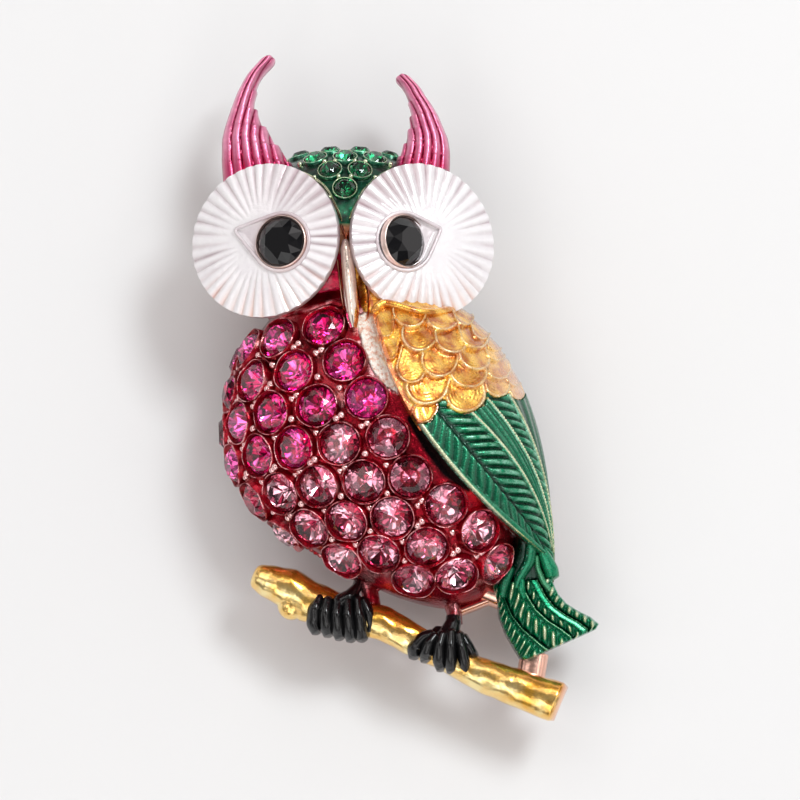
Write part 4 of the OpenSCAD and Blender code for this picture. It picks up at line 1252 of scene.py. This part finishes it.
def branch_enamel():
    finish = Finish("branch_enamel", Metallic=0.85, Coat_Weight=1.0, Coat_Roughness=0.04)
    x, y, z, vector = finish.places()
    cloud = finish.noise(vector, 0.45)
    gold = finish.mix(cloud.between(0.35, 0.65), (0.88, 0.46, 0.05), (1.0, 0.82, 0.38))
    rust = finish.mix(cloud.between(0.35, 0.65), (0.64, 0.22, 0.01), (0.94, 0.50, 0.06))
    # distance across the branch, up the picture
    across = (x - BRANCH_AT[0]) * math.sin(SLOPE) + (y - BRANCH_AT[1]) * math.cos(SLOPE)
    body = finish.mix((across + 2.0 * (cloud - 0.5)).between(-0.4, 0.9), gold, rust)
    bare = (z - BACK).between(1.0, 0.4) + finish.carried("crest")
    finish.set(Base_Color=finish.mix(bare, body, ROSE_GOLD),
               Roughness=0.10 + 0.20 * finish.noise(vector, 2.5))
    finish.bump(finish.noise(vector, 0.6) + 0.15 * finish.noise(vector, 2.6), 0.08)
    return finish.material


BRANCH_STATIONS = [
    # along, share of the full width, share of the full depth; the cut right end is left bare
    (-0.020, 0.45, 0.45), (-0.016, 0.75, 0.75), (-0.008, 0.93, 0.93),
    *((s, 1.0, 1.0) for s in np.linspace(0, 1, 150)),
    (1.018, 0.88, 0.88 * 0.6), (1.018, 0.80, 0.80 * 0.6),
]
branch_rows = np.array(BRANCH_ROWS)
a = turns(56)
branch_rings = []
for s, wide_share, deep_share in BRANCH_STATIONS:
    side = np.interp(s, branch_rows[:, 0], branch_rows[:, 1]) * BRANCH_D
    half = np.interp(s, branch_rows[:, 0], branch_rows[:, 2]) * BRANCH_D
    deep = min(half, 0.55 * BRANCH_D) * deep_share
    half *= wide_share
    x, y = branch_spot(s, side)
    wide = half * np.cos(a)
    ring = np.column_stack([x + BRANCH_SIDE[0] * wide, y + BRANCH_SIDE[1] * wide,
                            BRANCH_Z + deep * np.sin(a)])
    if wide_share == 1:
        grow = rough(ring, 0.11, 3.4)[:, None] * np.sin(np.pi * np.clip(s, 0.02, 0.98)) ** 0.3
        ring += grow * (ring - [x, y, BRANCH_Z]) / max(0.5, half)
    ring[:, 2] = np.maximum(ring[:, 2], BACK)
    branch_rings.append(ring)
cut_end = np.repeat([s > 1 for s, _, _ in BRANCH_STATIONS], len(a))
knot = branch_spot(0.13, -0.45 * BRANCH_D)


def ball(centre, radii):
    a = turns(24)
    return loft([np.column_stack([centre[0] + radii[0] * math.cos(b) * np.cos(a),
                                  centre[1] + radii[1] * math.cos(b) * np.sin(a),
                                  np.full(len(a), centre[2] + radii[2] * math.sin(b))])
                 for b in np.linspace(-np.pi / 2 * 0.96, np.pi / 2 * 0.96, 14)])


branch_metal = branch_enamel()
make_piece("branch", loft(branch_rings), branch_metal, crest=cut_end, crease=60)
make_piece("branch_knot", join([ball((knot[0], knot[1] + 0.2, BRANCH_Z), (1.4, 1.5, 1.4)),
                                ball((knot[0] + 0.2, knot[1] + 1.4, BRANCH_Z), (1.7, 1.7, 1.65))]),
           branch_metal)

# Feet
# Fans of ridged toes gripping the branch, glossy black enamel, each on a short cast leg.
FEET = [
    # pad, toes and shank as rows of X, picture height, height above the back and half width
    [[(-5.2, -21.0, 1.9, 2.0), (-5.3, -22.6, 2.5, 2.4), (-5.2, -24.4, 1.7, 2.2)],
     [(-7.2, -20.7, 2.6, 0.5), (-7.9, -22.2, 3.3, 0.76), (-8, -23.6, 2.8, 0.78), (-7.5, -24.7, 1.9, 0.59)],
     [(-6.5, -20.9, 2.9, 0.59), (-6.9, -22.6, 3.6, 0.69), (-6.7, -24, 3.1, 0.74), (-6.4, -25, 2, 0.56)],
     [(-5.6, -20.9, 3, 0.59), (-5.8, -22.8, 3.8, 0.64), (-5.6, -24.3, 3.1, 0.69), (-5.3, -25.3, 2, 0.56)],
     [(-4.7, -20.9, 3, 0.59), (-4.7, -22.9, 3.8, 0.64), (-4.5, -24.4, 3.1, 0.69), (-4.2, -25.5, 2, 0.56)],
     [(-3.8, -20.7, 3, 0.45), (-3.6, -22.9, 3.6, 0.64), (-3.4, -24.4, 3, 0.69), (-3.2, -25.5, 2, 0.56)],
     [(-3.3, -21, 2.8, 0.59), (-2.7, -22.6, 3, 0.64), (-2.5, -23.8, 2.6, 0.64), (-2.7, -24.8, 1.8, 0.54)],
     [(-3.6, -19.2, 2.2, 0.45), (-3.8, -20.1, 2.6, 0.5), (-4.5, -21, 3.1, 0.75), (-5.8, -21.8, 3.2, 0.9)]],
    [[(5.2, -24.0, 2.1, 1.2), (4.8, -25.4, 2.7, 2.2), (4.6, -26.9, 2.1, 2.0)],
     [(3.9, -24.6, 3.1, 0.59), (2.6, -25, 3.2, 0.66), (1.75, -26, 3, 0.72), (1.9, -27.2, 1.8, 0.59)],
     [(4.1, -24.5, 3.4, 0.59), (3.2, -25.6, 3.7, 0.64), (2.9, -26.7, 3.2, 0.66), (3, -27.5, 2, 0.54)],
     [(4.7, -24.2, 3.4, 0.59), (4.2, -25.8, 3.9, 0.64), (4.2, -27.2, 3.3, 0.66), (4.6, -28.3, 2, 0.56)],
     [(5.4, -23.9, 3.3, 0.59), (5.3, -25.8, 3.9, 0.64), (5.3, -27.3, 3.3, 0.68), (5.6, -28.6, 2, 0.56)],
     [(6, -24.2, 3.2, 0.59), (6.4, -26, 3.7, 0.59), (6.7, -27.6, 3.1, 0.60), (7, -29, 1.8, 0.46)],
     [(6.3, -24.6, 2.9, 0.54), (7, -25.8, 3, 0.59), (7.5, -26.6, 2.6, 0.54), (7.8, -27.1, 2, 0.44)],
     [(5.6, -22.7, 2.4, 0.69), (5.6, -23.5, 2.8, 0.79), (5.3, -24.3, 3.1, 0.95), (5, -25, 3.3, 1.10)]],
]
LEGS = [
    # rows of X, picture height, height above the back and half width
    [(-3.2, -18.6, 2.0, 1.5), (-2.9, -19.6, 1.9, 0.85), (-2.5, -20.8, 1.9, 0.85),
     (-2.4, -22.2, 1.8, 1.0)],
    [(4.9, -20.6, 1.6, 2.0), (5.5, -21.6, 1.7, 0.95), (5.7, -22.6, 1.8, 0.75), (5.7, -24.0, 1.8, 0.85)],
]


def black_enamel():
    finish = Finish("black_enamel", Coat_Weight=0.8, Coat_Roughness=0.03,
                    Specular_IOR_Level=0.1)
    vector = finish.places()[3]
    finish.set(Base_Color=finish.mix(finish.noise(vector, 1.5), (0.001, 0.001, 0.001),
                                     (0.006, 0.006, 0.007)),
               Roughness=0.10 + 0.15 * finish.noise(vector, 2.0))
    finish.bump(finish.noise(vector, 1.5), 0.22)
    return finish.material


black = black_enamel()
def drawn_limb(rows, deep, ridge=0.0):
    """A limb from rows of X, picture height, height above the back and half width."""
    return limb([(*pictured(x, up, BACK + high), wide, deep) for x, up, high, wide in rows], 20, 40,
                ridge)


for hand, toes, leg in zip(("left", "right"), FEET, LEGS):
    make_piece("toes_" + hand, join([drawn_limb(toe, 0.85, 0.2) for toe in toes]), black, crease=70)
    make_piece("leg_" + hand, drawn_limb(leg, 1.4), crimson, crest=0.45)

# Tail
# Four curved vanes side by side, rooted under the wing's tip and cast with slanting barbs, in
# emerald enamel with pale bare metal on the ridges.
TAIL_AT, TAIL_W = np.array([10.1, -20.6]), 2.9
TAIL_EDGES = [
    # along, X and picture height of the left edge, of the right edge
    (0.00, 9.3, -19.8, 15.2, -19.3),
    (0.20, 9.8, -21.5, 15.9, -20.8),
    (0.40, 10.0, -23.1, 16.7, -21.7),
    (0.60, 10.6, -24.7, 17.8, -22.4),
    (0.80, 11.4, -26.1, 19.0, -23.0),
    (0.95, 12.0, -27.1, 19.85, -23.7),
    (1.00, 12.8, -27.3, 19.5, -24.3),
]
TAIL_VANES = [
    # left edge at the root, at the end, right edge at the root, at the end, barb pitch, slant,
    # barbs from and to, across the vane, how bare their tops are
    (0.00, 0.00, 0.10, 0.35, 0.85, 2.4, 0.02, 0.80, 1.1),
    (0.10, 0.35, 0.50, 0.67, 1.25, 2.9, 0.06, 0.78, 1.6),
    (0.50, 0.67, 0.78, 0.87, 1.25, 2.2, 0.00, 0.50, 1.4),
    (0.78, 0.87, 1.00, 1.00, 1.20, 1.4, 0.10, 0.95, 1.7),
]


def tail_fan():
    edges = np.array(TAIL_EDGES)
    s, w = np.meshgrid(np.linspace(0, 1, 150), np.linspace(0, 1, 160), indexing="ij")
    left = [np.interp(s, edges[:, 0], edges[:, k]) for k in (1, 2)]
    right = [np.interp(s, edges[:, 0], edges[:, k]) for k in (3, 4)]
    x = left[0] + (right[0] - left[0]) * w
    up = left[1] + (right[1] - left[1]) * w
    high, crest = np.zeros(s.shape), np.zeros(s.shape)
    for left0, left1, right0, right1, pitch, slant, start, reach, bare in TAIL_VANES:
        first, last = left0 + (left1 - left0) * s, right0 + (right1 - right0) * s
        a = (w - first) / (last - first)
        here = (a >= 0) & (a <= 1)
        a = np.clip(a, 0, 1)
        wave = 0.5 + 0.5 * np.cos(2 * np.pi * (9.5 * s / pitch + slant * a))
        lift = wave ** 0.9 * np.sin(np.pi * np.clip((a - start) / (reach - start), 0, 1)) ** 0.6
        border = np.exp(-((a - 0.93) / 0.05) ** 2)
        field = 0.40 * np.sin(np.pi * a) ** 0.5 + 0.25 * np.clip((a - reach) / 0.1, 0, 1)
        field += 0.25 * border
        high = np.where(here, field + 0.6 * lift, high)
        wear_and_sheen = 0.15 + 0.9 * field * (a > 0.06) + 0.5 * border + bare * lift ** 1.6
        crest = np.where(here, wear_and_sheen, crest)
    z = BACK + 2.3 + 0.7 * (1 - s) + 0.95 * high
    brink = np.minimum(1, np.minimum(np.minimum(w, 1 - w) / 0.03, (1 - s) / 0.025))
    z -= 0.9 * (1 - brink) ** 2
    y = (up - (z - AIM_Z - 0.5 * high) * math.cos(CAMERA_UP)) / math.sin(CAMERA_UP)
    top = np.stack([x, y, z], axis=-1)
    low = top.copy()
    low[..., 2] = BACK + 0.1
    low[..., :2] = 0.92 * low[..., :2] + 0.08 * low[..., :2].mean(axis=(0, 1))
    return slab(top, low), crest


fan, fan_crest = tail_fan()
make_piece("tail_feathers", fan, emerald, crest=fan_crest, crease=75)


def bridge(first, second, width, z, top):
    """A short cast bar between two places on the plan, rounded over."""
    return limb([(*first, z, width, top), (*((first + second) / 2), z, width, top),
                 (*second, z, width, top)])


ROOT_SWIRLS = [
    # rows of X, picture height, height above the back, half width, half depth
    [(12.2, -14.6, 4.0, 0.9, 1.4), (13.0, -16.2, 3.5, 1.6, 1.8), (12.9, -18.6, 2.3, 2.4, 1.6),
     (12.8, -20.4, 1.6, 2.4, 1.2)],
    [(12.6, -14.4, 5.2, 0.35, 0.5), (13.2, -16.0, 5.2, 0.6, 0.8), (13.0, -17.6, 4.4, 0.6, 0.8),
     (12.0, -19.2, 3.6, 0.5, 0.7), (11.6, -20.6, 3.0, 0.3, 0.5)],
    [(13.7, -15.4, 5.0, 0.3, 0.5), (14.5, -17.0, 4.4, 0.6, 0.8), (15.1, -18.4, 3.6, 0.8, 1.0),
     (15.3, -19.4, 3.0, 0.7, 0.9)],
    [(13.7, -16.8, 4.6, 0.25, 0.5), (13.8, -18.2, 4.2, 0.3, 0.5), (14.4, -19.6, 3.6, 0.3, 0.5),
     (15.2, -20.6, 3.4, 0.25, 0.4)],
    [(11.4, -18.0, 3.8, 0.4, 0.6), (10.6, -19.6, 3.4, 0.55, 0.7), (10.3, -21.4, 2.8, 0.4, 0.6)],
    [(12.3, -19.2, 3.6, 0.3, 0.6), (12.2, -20.3, 3.4, 0.45, 0.7), (12.6, -21.4, 2.8, 0.3, 0.5)],
]


def swirl(rows):
    """A swelling ridge whose rows are read off the picture."""
    return limb([(*pictured(x, up, BACK + high), wide, deep) for x, up, high, wide, deep in rows],
                24, 40)


swirls = [swirl(rows) for rows in ROOT_SWIRLS]
make_piece("tail_root", join(swirls), emerald,
           crest=np.concatenate([np.full(len(points), bare) for (points, _), bare
                                 in zip(swirls, (0.1, 0.6, 0.8, 1.15, 0.5, 1.1))]))
link_low = branch_spot(0.9, 0.3 * BRANCH_D)
link_top = np.array([13.6, -25.6])
lip = np.array(spot(0.9 * BELLY_DOWN, 0.0))
make_piece("links", join([bridge(link_low, link_top, 1.4, BACK + 1.0, 1.0),
                          bridge(lip, TAIL_AT + [0.2 * TAIL_W, 0], 1.2, BACK + 1.5, 1.5),
                          bridge(pictured(6.0, -22.6, 6.5)[:2], pictured(10.2, -21.0, 6.5)[:2],
                                 0.45, BACK + 1.6, 0.9)]),
           rose_plate)

# Pin fitting
# The frame's own plain solid, rose-gold plated: it stands in for the bar that is soldered across
# the back and for its end blocks and pin.
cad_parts["pin_back"].data.materials.clear()
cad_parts["pin_back"].data.materials.append(rose_plate)

# Table, light and camera
# White sweep, one large soft light from the upper right, a weak fill, and a long lens almost
# straight above.
surface = Finish("table_white", Roughness=0.55, Specular_IOR_Level=0.25)
surface.set(Base_Color=surface.mix(surface.noise(surface.places()[3], 0.02), (0.72, 0.72, 0.72),
                                   (0.75, 0.75, 0.75)))
table_mesh = bpy.data.meshes.new("table")
table_mesh.from_pydata([(-2, -2, 0), (2, -2, 0), (2, 2, 0), (-2, 2, 0)], [], [(0, 1, 2, 3)])
table_mesh.materials.append(surface.material)
table = bpy.data.objects.new("table", table_mesh)
bpy.context.scene.collection.objects.link(table)


def soft_light(name, place, aim, size, power, colour=(1, 1, 1)):
    lamp = bpy.data.lights.new(name, "AREA")
    lamp.size, lamp.energy, lamp.color = size, power, colour
    made = bpy.data.objects.new(name, lamp)
    made.location = place
    to = np.array(aim) - np.array(place)
    yaw, pitch = math.atan2(to[1], to[0]), math.atan2(math.hypot(to[0], to[1]), -to[2])
    made.rotation_euler = (pitch, 0, yaw - math.pi / 2)
    bpy.context.scene.collection.objects.link(made)


soft_light("key", (0.43, 0.40, 0.81), (0, 0, 0.01), 0.30, 4.9, (0.95, 1.01, 1.03))
soft_light("fill", (-0.15, -0.60, 0.45), (0, 0, 0.01), 0.5, 0.8)
# the white room's walls are bright and its ceiling, where the camera hangs, is dark
ROOM = [
    # height of the direction, brightness
    (0.0, 0.37), (0.50, 0.74), (0.72, 1.20), (0.88, 1.20), (0.955, 0.08),
]
world = bpy.data.worlds.new("studio")
sky = Nodes(world)
way = sky.node("TexCoord", {}, {})
height = sky.node("SeparateXYZ", {}, {0: way}, out=2)
walls = sky.node("ValToRGB", {"stops": [(place, (1.03 * value, 0.985 * value, 0.975 * value))
                                        for place, value in ROOM]}, {0: height})
# lamps and flags round the set break the light into patches
patches = sky.noise(way, 3.6, 2.0).between(0.46, 0.57, 0.22, 2.10)
light = sky.node("VectorMath", {"operation": "SCALE"}, {0: walls, "Scale": patches})
sky.plug(sky.tree.nodes["Background"].inputs["Color"], light)
bpy.context.scene.world = world
bpy.context.scene.view_settings.view_transform = "Standard"

# width of the picture in pixels, and of a pixel in millimetres
PICTURE_W, PIXEL = 800, 0.0975
LENS, SENSOR = 300.0, 36.0
distance = PICTURE_W * PIXEL * 0.001 * LENS / SENSOR
camera = bpy.data.cameras.new("camera")
camera.lens, camera.sensor_width = LENS, SENSOR
camera.clip_start, camera.clip_end = 0.01, 20
eye = bpy.data.objects.new("camera", camera)
aim = np.array([0.0004, -0.00184, AIM_Z * 0.001])
eye.location = aim + distance * np.array([0, -math.cos(CAMERA_UP), math.sin(CAMERA_UP)])
eye.rotation_euler = (math.pi / 2 - CAMERA_UP, 0, 0)
bpy.context.scene.collection.objects.link(eye)
bpy.context.scene.camera = eye
